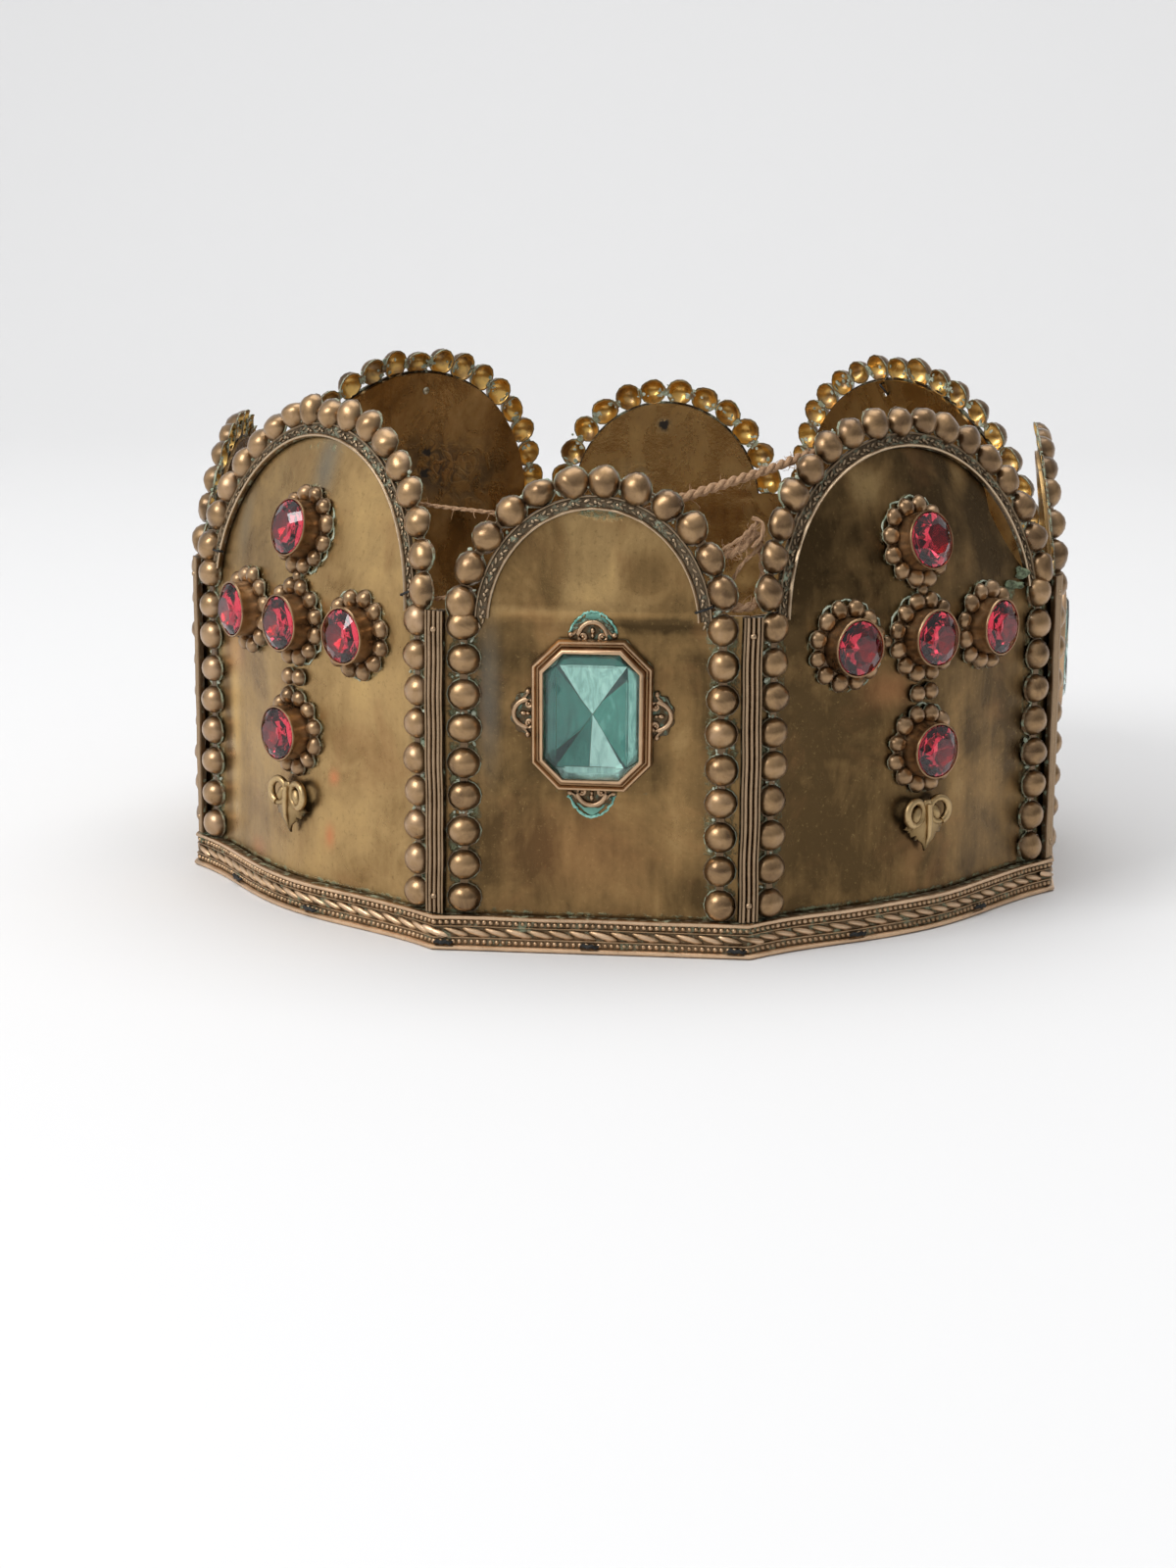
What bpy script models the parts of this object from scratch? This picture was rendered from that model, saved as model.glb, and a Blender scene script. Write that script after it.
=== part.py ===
"""Eight-sided theatrical crown of thin brass sheet, with bead borders, stones and twine.

The crown stands on the underside of its base border, with +Z up. The origin is on the floor, at
the middle of the ring, and the front panel faces -Y. Every piece that lies on a panel is first
made flat, in the panel's own coordinates: x across the panel, y up it and z out of it. It is then
bent onto the panel's bowed surface.
"""
import math

import bmesh
import bpy
from mathutils import Matrix, Vector

# Ring of panels
NARROW_WIDTH = 0.072
WIDE_WIDTH = 0.100
PANEL_TURN = math.radians(45)
CORNER_TURN = PANEL_TURN / 2
SHEET_THICKNESS = 0.0008
SHOULDER_HEIGHT = 0.0798
SHEET_FOOT = 0.0005
SEAM = 0.0005

# How far the wide panels bulge, and how far the tops lean in
WIDE_BOW_FOOT = 0.0067
WIDE_BOW_TOP = 0.0030
WIDE_LEAN = 0.0100
NARROW_LEAN = 0.0040
LEAN_START = 0.0750

# Arches: the line through the bead centres is half an ellipse, which springs below the shoulder
NARROW_ARCH_INSET = 0.0056
NARROW_ARCH_RISE = 0.0328
NARROW_ARCH_DROP = 0.0032
NARROW_ARCH_BEADS = 12
WIDE_ARCH_INSET = 0.0040
WIDE_ARCH_RISE = 0.0462
WIDE_ARCH_DROP = 0.0055
WIDE_ARCH_BEADS = 17
FIRST_ARCH_BEAD = 0.0035
BEAD_TO_SHEET = 0.0048
BAND_WIDTH = 0.0034
BAND_THICKNESS = 0.0010
BAND_OVERLAP = 0.0007

# Bead borders
BEAD_RADIUS = 0.00375
BEAD_HEIGHT = 0.0034
BEAD_NECK = 0.42
BEAD_FULL_SHARE = 0.25
BEAD_END_SHARE = 0.45
COLUMN_BEADS = 9
COLUMN_TOP_DROP = 0.0033
COLUMN_INSET = 0.0063
COLUMN_CLEARANCE = 0.0001

# Corner pilasters, each with three ribs
PILASTER_WIDTH = 0.0046
PILASTER_BACK = 0.0007
RIB_HEIGHT = 0.0011
RIB_SLOPE_SHARE = 0.3
RIBS = 3

# Base border
BORDER_HEIGHT = 0.0083
BORDER_DEPTH = 0.0031
BORDER_RAIL = 0.0013
BORDER_GROOVE = 0.0008

# Large stone and its frame
STONE_WIDTH = 0.0218
STONE_LENGTH = 0.0290
STONE_CUT = 0.0045
STONE_TOP = 0.0056
STONE_TABLE_INSET = 0.0026
STONE_CROWN = 0.0018
FRAME_WALL = 0.0018
FRAME_FLANGE = 0.0012
FRAME_HEIGHT = 0.0043
FLANGE_HEIGHT = 0.0020
FRAME_FLOOR = 0.0008
FRAME_CENTRE = 0.0564
SCROLL_LENGTH = 0.0118
SCROLL_REACH = 0.0066
SIDE_SCROLL_REACH = 0.0050
SCROLL_HEIGHT = 0.0014
SCROLL_OVERLAP = 0.0012
SCROLL_STEPS = 8
SCROLL_LOBE = 0.12

# Cross of five rosettes
CROSS_CENTRE = 0.0705
ARM_UP = 0.0219
ARM_SIDE = 0.0228
ARM_DOWN = 0.0267
ROSETTE_RADIUS = 0.0104
ROSETTE_LOBE = 0.0008
ROSETTE_LOBES = 8
ROSETTE_HEIGHT = 0.0020
COLLET_RADIUS = 0.0066
COLLET_HEIGHT = 0.0054
COLLET_SIDES = 8
RUBY_RADIUS = 0.0061
RUBY_TABLE = 0.0036
RUBY_HEIGHT = 0.0016
RUBY_SIDES = 8
LINK_RADIUS = 0.0016
LINK_SIDES = 6
LINK_HEIGHT = 0.0015
LINK_PAIR_RADIUS = 0.0034
LEAF_TIP = 0.0196
LEAF_HALF = 0.0062
LEAF_HEIGHT = 0.0015
LEAF_OVERLAP = 0.0015

# Twine: one strand runs on as a thin thread
TWINE_RADIUS = 0.0011
THREAD_SHARE = 0.45
LASHING_RADIUS = 0.0011
TWINE_STEP = 3.0

# The gap between pieces that touch, and how far the backs of fused pieces stay out of one plane
GAP = 0.0003
BACK_STEP = 0.0001

ARC_STEPS_NARROW = 12
ARC_STEPS_WIDE = 14
BOW_STEPS = 6
LEAN_STEPS = 4
WELD = 0.00002
SLOPE_STEP = 0.0002

BRASS_SHEET = ("aged_sheet", (0.235, 0.160, 0.062), 0.38, 1.0)
BRASS_BEAD = ("bronzed_beads", (0.305, 0.170, 0.085), 0.32, 1.0)
BRASS_TRIM = ("dark_trim", (0.160, 0.105, 0.060), 0.45, 1.0)
TEAL_GLASS = ("teal_glass", (0.090, 0.480, 0.400), 0.05, 0.0)
RUBY_GLASS = ("ruby_glass", (0.300, 0.010, 0.035), 0.05, 0.0)
JUTE = ("jute", (0.420, 0.270, 0.170), 0.90, 0.0)

# Each panel with its width, and how far its arch beads are slipped along the arch
PANELS = (
    ("front", False, -0.0018),
    ("front_right", True, 0.0014),
    ("right", False, 0.0),
    ("back_right", True, 0.0),
    ("back", False, 0.0),
    ("back_left", True, 0.0),
    ("left", False, 0.0),
    ("front_left", True, 0.0),
)


def clear_scene():
    """Remove what the file starts with."""
    for obj in list(bpy.data.objects):
        bpy.data.objects.remove(obj, do_unlink=True)


def new_collection(name):
    collection = bpy.data.collections.new(name)
    bpy.context.scene.collection.children.link(collection)
    return collection


def material(spec):
    """The Principled material of one finish, made once."""
    name, colour, roughness, metallic = spec
    found = bpy.data.materials.get(name)
    if found:
        return found
    made = bpy.data.materials.new(name)
    made.use_nodes = True
    shader = made.node_tree.nodes["Principled BSDF"]
    shader.inputs["Base Color"].default_value = (*colour, 1.0)
    shader.inputs["Roughness"].default_value = roughness
    shader.inputs["Metallic"].default_value = metallic
    made.diffuse_color = (*colour, 1.0)
    return made


# Surface of a panel

def panel_width(wide):
    return WIDE_WIDTH if wide else NARROW_WIDTH


def panel_distance(wide):
    """From the crown's axis to the panel's chord, with corners that turn 45 degrees."""
    own, other = panel_width(wide), panel_width(not wide)
    return own / 2 + other * math.cos(PANEL_TURN)


def arch_sizes(wide):
    """Half width, rise and spring height of the bead line."""
    half = panel_width(wide) / 2
    if wide:
        return half - WIDE_ARCH_INSET, WIDE_ARCH_RISE, SHOULDER_HEIGHT - WIDE_ARCH_DROP
    return half - NARROW_ARCH_INSET, NARROW_ARCH_RISE, SHOULDER_HEIGHT - NARROW_ARCH_DROP


def surface_offset(wide, across, up):
    """How far the panel's outer face stands out from its chord."""
    _, rise, spring = arch_sizes(wide)
    top = spring + rise
    lean_share = max(0.0, (up - LEAN_START) / (top - LEAN_START))
    lean = (WIDE_LEAN if wide else NARROW_LEAN) * lean_share ** 1.5
    if not wide:
        return -lean
    bow = WIDE_BOW_FOOT + (WIDE_BOW_TOP - WIDE_BOW_FOOT) * min(1.0, up / top)
    share = min(1.0, abs(across) / (WIDE_WIDTH / 2))
    return bow * math.cos(math.pi / 2 * share) ** 2 - lean


def surface_point(index, across, up, out):
    """World place of a point of panel coordinates, along the surface's own normal."""
    wide = PANELS[index][1]
    angle = index * PANEL_TURN
    along_axis = Vector((math.cos(angle), math.sin(angle), 0))
    out_axis = Vector((math.sin(angle), -math.cos(angle), 0))
    offset = surface_offset(wide, across, up)
    slope_across = (surface_offset(wide, across + SLOPE_STEP, up) - offset) / SLOPE_STEP
    slope_up = (surface_offset(wide, across, up + SLOPE_STEP) - offset) / SLOPE_STEP
    normal = (out_axis - along_axis * slope_across - Vector((0, 0, slope_up))).normalized()
    foot = along_axis * across + out_axis * (panel_distance(wide) + offset) + Vector((0, 0, up))
    return foot + normal * out


def corner_line(index):
    """Plan place and outward direction of the corner after a panel."""
    wide = PANELS[index][1]
    angle = index * PANEL_TURN
    along_axis = Vector((math.cos(angle), math.sin(angle), 0))
    out_axis = Vector((math.sin(angle), -math.cos(angle), 0))
    place = along_axis * (panel_width(wide) / 2) + out_axis * panel_distance(wide)
    bisector = angle + CORNER_TURN
    return place, Vector((math.sin(bisector), -math.cos(bisector), 0))


# Modelling helpers

def mesh_object(name, mesh, collection):
    obj = bpy.data.objects.new(name, mesh)
    collection.objects.link(obj)
    return obj


def evaluated_mesh(obj):
    """A plain mesh of an object with its curve shape or modifiers worked out."""
    depsgraph = bpy.context.evaluated_depsgraph_get()
    depsgraph.update()
    return bpy.data.meshes.new_from_object(obj.evaluated_get(depsgraph))


def face_outwards(bm):
    """Point the faces of one closed body out, also on a ring."""
    bmesh.ops.recalc_face_normals(bm, faces=bm.faces)
    if bm.calc_volume(signed=True) < 0:
        bmesh.ops.reverse_faces(bm, faces=bm.faces)


def cleaned(mesh):
    """Weld a curve's loose caps, merge its flat faces and point the faces out."""
    bm = bmesh.new()
    bm.from_mesh(mesh)
    bmesh.ops.remove_doubles(bm, verts=bm.verts, dist=WELD)
    bmesh.ops.dissolve_limit(bm, angle_limit=math.radians(0.5), verts=bm.verts, edges=bm.edges)
    face_outwards(bm)
    bm.to_mesh(mesh)
    bm.free()
    return mesh


def plate(name, outline, low, high, collection):
    """A flat solid with the given outline, from one height to another."""
    curve = bpy.data.curves.new(name, "CURVE")
    curve.dimensions = "2D"
    curve.fill_mode = "BOTH"
    curve.extrude = (high - low) / 2
    spline = curve.splines.new("POLY")
    spline.points.add(len(outline) - 1)
    for point, (x, y) in zip(spline.points, outline):
        point.co = (x, y, 0, 1)
    spline.use_cyclic_u = True
    source = mesh_object(name, curve, collection)
    mesh = cleaned(evaluated_mesh(source))
    mesh.transform(Matrix.Translation((0, 0, (high + low) / 2)))
    bpy.data.objects.remove(source, do_unlink=True)
    return mesh_object(name, mesh, collection)


def disc(name, sides, low_radius, high_radius, low, high, place, collection):
    """A round or faceted solid standing on the panel."""
    bm = bmesh.new()
    bmesh.ops.create_cone(bm, cap_ends=True, segments=sides, radius1=low_radius,
                          radius2=high_radius, depth=high - low)
    mesh = bpy.data.meshes.new(name)
    bm.to_mesh(mesh)
    bm.free()
    mesh.transform(Matrix.Translation((place[0], place[1], (high + low) / 2)))
    return mesh_object(name, mesh, collection)


def sweep(name, points, radii, profile, collection):
    """A profile drawn along a flat path, scaled by the radius at each point."""
    shape = bpy.data.curves.new(name + "_profile", "CURVE")
    shape.dimensions = "2D"
    section = shape.splines.new("POLY")
    section.points.add(len(profile) - 1)
    for point, (x, y) in zip(section.points, profile):
        point.co = (x, y, 0, 1)
    section.use_cyclic_u = True
    guide = mesh_object(name + "_profile", shape, collection)
    curve = bpy.data.curves.new(name, "CURVE")
    curve.dimensions = "3D"
    curve.twist_mode = "Z_UP"
    curve.bevel_mode = "OBJECT"
    curve.bevel_object = guide
    curve.use_fill_caps = True
    spline = curve.splines.new("POLY")
    spline.points.add(len(points) - 1)
    for point, (x, y), radius in zip(spline.points, points, radii):
        point.co = (x, y, 0, 1)
        point.radius = radius
    source = mesh_object(name, curve, collection)
    mesh = evaluated_mesh(source)
    bm = bmesh.new()
    bm.from_mesh(mesh)
    bmesh.ops.remove_doubles(bm, verts=bm.verts, dist=WELD)
    face_outwards(bm)
    bm.to_mesh(mesh)
    bm.free()
    bpy.data.objects.remove(source, do_unlink=True)
    bpy.data.objects.remove(guide, do_unlink=True)
    return mesh_object(name, mesh, collection)


def combined(base, others, operation="UNION"):
    """One mesh of a base and the solids joined to it or cut from it, which are used up."""
    for other in others:
        modifier = base.modifiers.new(other.name, "BOOLEAN")
        modifier.operation = operation
        modifier.solver = "EXACT"
        modifier.object = other
    mesh = evaluated_mesh(base)
    base.modifiers.clear()
    base.data = mesh
    for other in others:
        bpy.data.objects.remove(other, do_unlink=True)
    return base


def split_at(mesh, axis, places):
    """Cut a flat mesh into strips, so that it can bend."""
    bm = bmesh.new()
    bm.from_mesh(mesh)
    normal = Vector((0, 0, 0))
    normal[axis] = 1
    for place in places:
        bmesh.ops.bisect_plane(bm, geom=bm.verts[:] + bm.edges[:] + bm.faces[:],
                               plane_co=normal * place, plane_no=normal)
    bm.to_mesh(mesh)
    bm.free()


def bent_copy(flat, index, name, finish, collection):
    """A copy of a flat piece, bent onto a panel."""
    mesh = flat.data.copy()
    bm = bmesh.new()
    bm.from_mesh(mesh)
    bmesh.ops.triangulate(bm, faces=bm.faces)
    for vert in bm.verts:
        vert.co = surface_point(index, *vert.co)
    bm.to_mesh(mesh)
    bm.free()
    return finished(name, mesh, finish, collection)


def finished(name, mesh, finish, collection):
    mesh.materials.clear()
    mesh.materials.append(material(finish))
    return mesh_object(name, mesh, collection)


# Flat shapes

def arch_point(half, rise, spring, angle):
    return half * math.cos(angle), spring + rise * math.sin(angle)


def sheet_outline(wide):
    """A panel's rectangle up to the shoulder, with the arch on it."""
    half, rise, spring = arch_sizes(wide)
    half -= BEAD_TO_SHEET
    rise -= BEAD_TO_SHEET
    steps = ARC_STEPS_WIDE if wide else ARC_STEPS_NARROW
    side = panel_width(wide) / 2 - SEAM
    start = math.asin((SHOULDER_HEIGHT - spring) / rise)
    arc = [start + (math.pi - 2 * start) * i / steps for i in range(steps + 1)]
    outline = [(-side, SHEET_FOOT), (side, SHEET_FOOT), (side, SHOULDER_HEIGHT)]
    outline += [arch_point(half, rise, spring, angle) for angle in arc]
    return outline + [(-side, SHOULDER_HEIGHT)]


def make_sheet(wide, collection):
    flat = plate("sheet", sheet_outline(wide), -SHEET_THICKNESS, 0, collection)
    _, rise, spring = arch_sizes(wide)
    top = spring + rise
    lean_rows = [LEAN_START + (top - LEAN_START) * i / LEAN_STEPS for i in range(1, LEAN_STEPS)]
    split_at(flat.data, 1, lean_rows)
    if wide:
        columns = [WIDE_WIDTH * (i / BOW_STEPS - 0.5) for i in range(1, BOW_STEPS)]
        split_at(flat.data, 0, columns)
    return flat


def bead_centres(wide, slip):
    """Bead centres up the left side, over the arch and down the right side."""
    half, rise, spring = arch_sizes(wide)
    side = panel_width(wide) / 2 - COLUMN_INSET
    foot = BORDER_HEIGHT + BEAD_RADIUS + COLUMN_CLEARANCE
    pitch = (SHOULDER_HEIGHT - COLUMN_TOP_DROP - foot) / (COLUMN_BEADS - 1)
    column = [foot + pitch * i for i in range(COLUMN_BEADS)]
    count = WIDE_ARCH_BEADS if wide else NARROW_ARCH_BEADS
    start = math.asin((SHOULDER_HEIGHT + FIRST_ARCH_BEAD - spring) / rise)
    turn = (math.pi - 2 * start) / (count - 1)
    first = math.pi - start - slip / rise
    arch = [arch_point(half, rise, spring, first - turn * i) for i in range(count)]
    return [(-side, up) for up in column] + arch + [(side, up) for up in reversed(column)]


def bead_stations(centres):
    """Path points and radii: full size on both sides of a bead's middle, and a neck between."""
    points, radii = [], []
    places = [Vector(centre) for centre in centres]
    first_step = places[0] - places[1]
    points.append(places[0] + first_step * BEAD_END_SHARE)
    radii.append(BEAD_NECK)
    for i, place in enumerate(places):
        before = places[i - 1] - place if i else first_step
        last = i == len(places) - 1
        after = -before if last else places[i + 1] - place
        points += [place + before * BEAD_FULL_SHARE, place + after * BEAD_FULL_SHARE]
        radii += [1.0, 1.0]
        points.append(place + (after * BEAD_END_SHARE if last else after / 2))
        radii.append(BEAD_NECK)
    return points, radii


def make_border(wide, slip, collection):
    """The arch band with its beads and the two side strips of beads, as one solid."""
    profile = [(-BEAD_RADIUS, 0), (BEAD_RADIUS, 0), (0, BEAD_HEIGHT)]
    points, radii = bead_stations(bead_centres(wide, slip))
    beads = sweep("beads", points, radii, profile, collection)
    beads.data.transform(Matrix.Translation((0, 0, GAP)))
    half, rise, spring = arch_sizes(wide)
    reach = BEAD_RADIUS - BAND_OVERLAP + BAND_WIDTH / 2
    half -= reach
    rise -= reach
    steps = ARC_STEPS_WIDE if wide else ARC_STEPS_NARROW
    start = math.asin((SHOULDER_HEIGHT - spring) / rise)
    arc = [start + (math.pi - 2 * start) * i / steps for i in range(steps + 1)]
    path = [arch_point(half, rise, spring, angle) for angle in arc]
    edge = BAND_WIDTH / 2
    section = [(-edge, 0), (edge, 0), (edge, BAND_THICKNESS), (-edge, BAND_THICKNESS)]
    band = sweep("band", path, [1.0] * len(path), section, collection)
    band.data.transform(Matrix.Translation((0, 0, GAP + BAND_OVERLAP)))
    return combined(beads, [band])


def octagon(width, length, cut):
    """A rectangle with its corners cut."""
    x, y = width / 2, length / 2
    return [(x - cut, -y), (x, -y + cut), (x, y - cut), (x - cut, y),
            (-x + cut, y), (-x, y - cut), (-x, -y + cut), (-x + cut, -y)]


def scroll_outline(reach):
    """A lobed scroll that rises from its straight foot, with its middle the tallest."""
    half = SCROLL_LENGTH / 2
    lobes = []
    for i in range(SCROLL_STEPS + 1):
        angle = math.pi * i / SCROLL_STEPS
        swell = 1 - SCROLL_LOBE * (i % 2)
        lobes.append((half * math.cos(angle) * swell, reach * math.sin(angle) * swell))
    return [(half, -SCROLL_OVERLAP)] + lobes + [(-half, -SCROLL_OVERLAP)]


def make_frame(collection):
    """The stepped eight-sided stone frame with its four scrolls."""
    wall = STONE_WIDTH + 2 * (GAP + FRAME_WALL), STONE_LENGTH + 2 * (GAP + FRAME_WALL)
    flange = wall[0] + 2 * FRAME_FLANGE, wall[1] + 2 * FRAME_FLANGE
    body = plate("frame", octagon(*flange, STONE_CUT + FRAME_FLANGE), GAP, FLANGE_HEIGHT, collection)
    joined = [plate("wall", octagon(*wall, STONE_CUT), GAP * 2, FRAME_HEIGHT, collection)]
    for turn, distance, reach in ((0, flange[1] / 2, SCROLL_REACH), (1, flange[0] / 2, SIDE_SCROLL_REACH),
                                  (2, flange[1] / 2, SCROLL_REACH), (3, flange[0] / 2, SIDE_SCROLL_REACH)):
        scroll = plate("scroll", scroll_outline(reach), GAP, SCROLL_HEIGHT, collection)
        scroll.data.transform(Matrix.Translation((0, distance, 0)))
        scroll.data.transform(Matrix.Rotation(turn * math.pi / 2, 4, "Z"))
        joined.append(scroll)
    pocket = octagon(STONE_WIDTH + 2 * GAP, STONE_LENGTH + 2 * GAP, STONE_CUT)
    cutter = plate("pocket", pocket, GAP + FRAME_FLOOR, FRAME_HEIGHT + STONE_CROWN, collection)
    frame = combined(combined(body, joined), [cutter], "DIFFERENCE")
    frame.data.transform(Matrix.Translation((0, FRAME_CENTRE, 0)))
    return frame


def make_stone(collection):
    """The large stone: straight sides, then sloping facets up to a flat table."""
    girdle = STONE_TOP - STONE_CROWN
    stone = plate("stone", octagon(STONE_WIDTH, STONE_LENGTH, STONE_CUT),
                  2 * GAP + FRAME_FLOOR, girdle, collection)
    bm = bmesh.new()
    bm.from_mesh(stone.data)
    top = [face for face in bm.faces if face.calc_center_median().z > girdle - WELD]
    raised = bmesh.ops.extrude_face_region(bm, geom=top)
    bmesh.ops.delete(bm, geom=top, context="FACES_ONLY")
    for vert in (item for item in raised["geom"] if isinstance(item, bmesh.types.BMVert)):
        vert.co.x *= 1 - 2 * STONE_TABLE_INSET / STONE_WIDTH
        vert.co.y *= 1 - 2 * STONE_TABLE_INSET / STONE_LENGTH
        vert.co.z = STONE_TOP
    face_outwards(bm)
    bm.to_mesh(stone.data)
    bm.free()
    stone.data.transform(Matrix.Translation((0, FRAME_CENTRE, 0)))
    return stone


def rosette_places():
    """Middle, left, right, top and bottom of the cross."""
    return {
        "middle": (0.0, CROSS_CENTRE),
        "left": (-ARM_SIDE, CROSS_CENTRE),
        "right": (ARM_SIDE, CROSS_CENTRE),
        "top": (0.0, CROSS_CENTRE + ARM_UP),
        "bottom": (0.0, CROSS_CENTRE - ARM_DOWN),
    }


def rosette_outline(place):
    """A disc with one lobe for each bead of the ring."""
    outline = []
    for i in range(2 * ROSETTE_LOBES):
        angle = math.pi * i / ROSETTE_LOBES
        radius = ROSETTE_RADIUS - (ROSETTE_LOBE if i % 2 else 0.0)
        outline.append((place[0] + radius * math.cos(angle), place[1] + radius * math.sin(angle)))
    return outline


def leaf_outline():
    """The curled leaf under the cross: a collar, two round loops and a pointed tip."""
    top = CROSS_CENTRE - ARM_DOWN - ROSETTE_RADIUS + LEAF_OVERLAP
    height = top - LEAF_TIP
    right = [(0.30, 1.00), (0.42, 0.86), (0.95, 0.72), (1.00, 0.52), (0.62, 0.38), (0.52, 0.16)]
    points = [(LEAF_HALF * x, LEAF_TIP + height * y) for x, y in right]
    return points + [(0.0, LEAF_TIP)] + [(-x, y) for x, y in reversed(points)]


def make_cross(collection):
    """Five rosettes with their collets, the beads that link them and the leaf, as one solid."""
    places = rosette_places()
    middle = places["middle"]
    plates = [plate("ring", rosette_outline(place), GAP, ROSETTE_HEIGHT, collection)
              for place in places.values()]
    collets = [disc("collet", COLLET_SIDES, COLLET_RADIUS, COLLET_RADIUS, 2 * GAP, COLLET_HEIGHT,
                    place, collection) for place in places.values()]
    link_back = GAP + 2 * BACK_STEP
    links = []
    for side in ("left", "right", "top"):
        half_way = [(a + b) / 2 for a, b in zip(middle, places[side])]
        links.append(disc("link", LINK_SIDES, LINK_RADIUS, LINK_RADIUS, link_back, LINK_HEIGHT,
                          half_way, collection))
    link_height = middle[1] - ARM_DOWN / 2
    links.append(disc("link", LINK_SIDES, LINK_PAIR_RADIUS, LINK_PAIR_RADIUS, link_back, LINK_HEIGHT,
                      (0, link_height), collection))
    leaf = plate("leaf", leaf_outline(), GAP + BACK_STEP, LEAF_HEIGHT, collection)
    return combined(plates[0], plates[1:] + collets + links + [leaf])


def make_ruby(place, collection):
    low = COLLET_HEIGHT + GAP
    return disc("ruby", RUBY_SIDES, RUBY_RADIUS, RUBY_TABLE, low, low + RUBY_HEIGHT, place, collection)


# Pieces that aren't bent onto one panel

def make_border_ring(collection):
    """The base border: a profile turned into a ring, then pressed onto the eight panels."""
    low, high = BORDER_RAIL, BORDER_HEIGHT - BORDER_RAIL
    groove = BORDER_DEPTH - BORDER_GROOVE
    middle = BORDER_HEIGHT / 2
    profile = [(GAP, 0), (BORDER_DEPTH, 0), (BORDER_DEPTH, low), (groove, (low + middle) / 2),
               (BORDER_DEPTH, middle), (groove, (middle + high) / 2), (BORDER_DEPTH, high),
               (BORDER_DEPTH, BORDER_HEIGHT), (GAP, BORDER_HEIGHT)]
    stations = []
    for index, (_, wide, _) in enumerate(PANELS):
        count = BOW_STEPS if wide else 1
        stations += [(index, 2 * i / count - 1) for i in range(count)]
    turned_radius = 1.0
    bm = bmesh.new()
    verts = [bm.verts.new((turned_radius + out, 0, up)) for out, up in profile]
    edges = [bm.edges.new((a, b)) for a, b in zip(verts, verts[1:] + verts[:1])]
    bmesh.ops.spin(bm, geom=verts + edges, axis=(0, 0, 1), cent=(0, 0, 0), angle=2 * math.pi,
                   steps=len(stations), use_merge=True, use_duplicate=False)
    for vert in bm.verts:
        turn = math.atan2(vert.co.y, vert.co.x) % (2 * math.pi)
        index, share = stations[round(turn / (2 * math.pi) * len(stations)) % len(stations)]
        out, up = vert.co.xy.length - turned_radius, vert.co.z
        half = panel_width(PANELS[index][1]) / 2
        if share == -1:
            half += out * math.tan(CORNER_TURN)
        vert.co = surface_point(index, share * half, up, out)
    face_outwards(bm)
    mesh = bpy.data.meshes.new("base_border")
    bm.to_mesh(mesh)
    bm.free()
    return finished("base_border", mesh, BRASS_TRIM, collection)


def pilaster_outline():
    """Cross-section of a pilaster: a flat back and a row of rounded ribs."""
    outline = [(-PILASTER_WIDTH / 2, 0), (PILASTER_WIDTH / 2, 0)]
    rib = PILASTER_WIDTH / RIBS
    for i in range(RIBS):
        right = PILASTER_WIDTH / 2 - rib * i
        outline.append((right, PILASTER_BACK))
        outline.append((right - rib * RIB_SLOPE_SHARE, PILASTER_BACK + RIB_HEIGHT))
        outline.append((right - rib * (1 - RIB_SLOPE_SHARE), PILASTER_BACK + RIB_HEIGHT))
    outline.append((-PILASTER_WIDTH / 2, PILASTER_BACK))
    return outline


def make_pilaster(index, name, collection):
    """The reeded strip that covers the corner after a panel."""
    low, high = BORDER_HEIGHT + GAP, SHOULDER_HEIGHT
    post = plate(name, pilaster_outline(), low, high, collection)
    place, outward = corner_line(index)
    across = Vector((-outward.y, outward.x, 0))
    axes = Matrix((across, outward, Vector((0, 0, 1)))).transposed().to_4x4()
    post.data.transform(Matrix.Translation(place + outward * GAP) @ axes)
    bm = bmesh.new()
    bm.from_mesh(post.data)
    face_outwards(bm)
    bm.to_mesh(post.data)
    bm.free()
    post.data.materials.append(material(BRASS_TRIM))
    return post


def smooth_path(points, step):
    """Points read from a smooth curve through the route, a step apart, each with its thickness."""
    knots = [Vector((*place, share)) for place, share in points]
    knots = [2 * knots[0] - knots[1]] + knots + [2 * knots[-1] - knots[-2]]
    path = []
    for a, b, c, d in zip(knots, knots[1:], knots[2:], knots[3:]):
        count = max(1, round((c - b).xyz.length / step))
        for i in range(count):
            t = i / count
            path.append(0.5 * (2 * b + (c - a) * t + (2 * a - 5 * b + 4 * c - d) * t ** 2
                               + (3 * b - a - 3 * c + d) * t ** 3))
    return path + [knots[-2]]


def make_twine(name, route, radius, collection):
    """A tube along its route, as thick as each point says."""
    path = smooth_path(route, TWINE_STEP * 2 * radius)
    curve = bpy.data.curves.new(name, "CURVE")
    curve.dimensions = "3D"
    curve.bevel_depth = radius
    curve.bevel_resolution = 2
    curve.use_fill_caps = True
    spline = curve.splines.new("POLY")
    spline.points.add(len(path) - 1)
    for point, place in zip(spline.points, path):
        point.co = (*place.xyz, 1)
        point.radius = place.w
    source = mesh_object(name, curve, collection)
    mesh = cleaned(evaluated_mesh(source))
    bpy.data.objects.remove(source, do_unlink=True)
    return finished(name, mesh, JUTE, collection)


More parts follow.
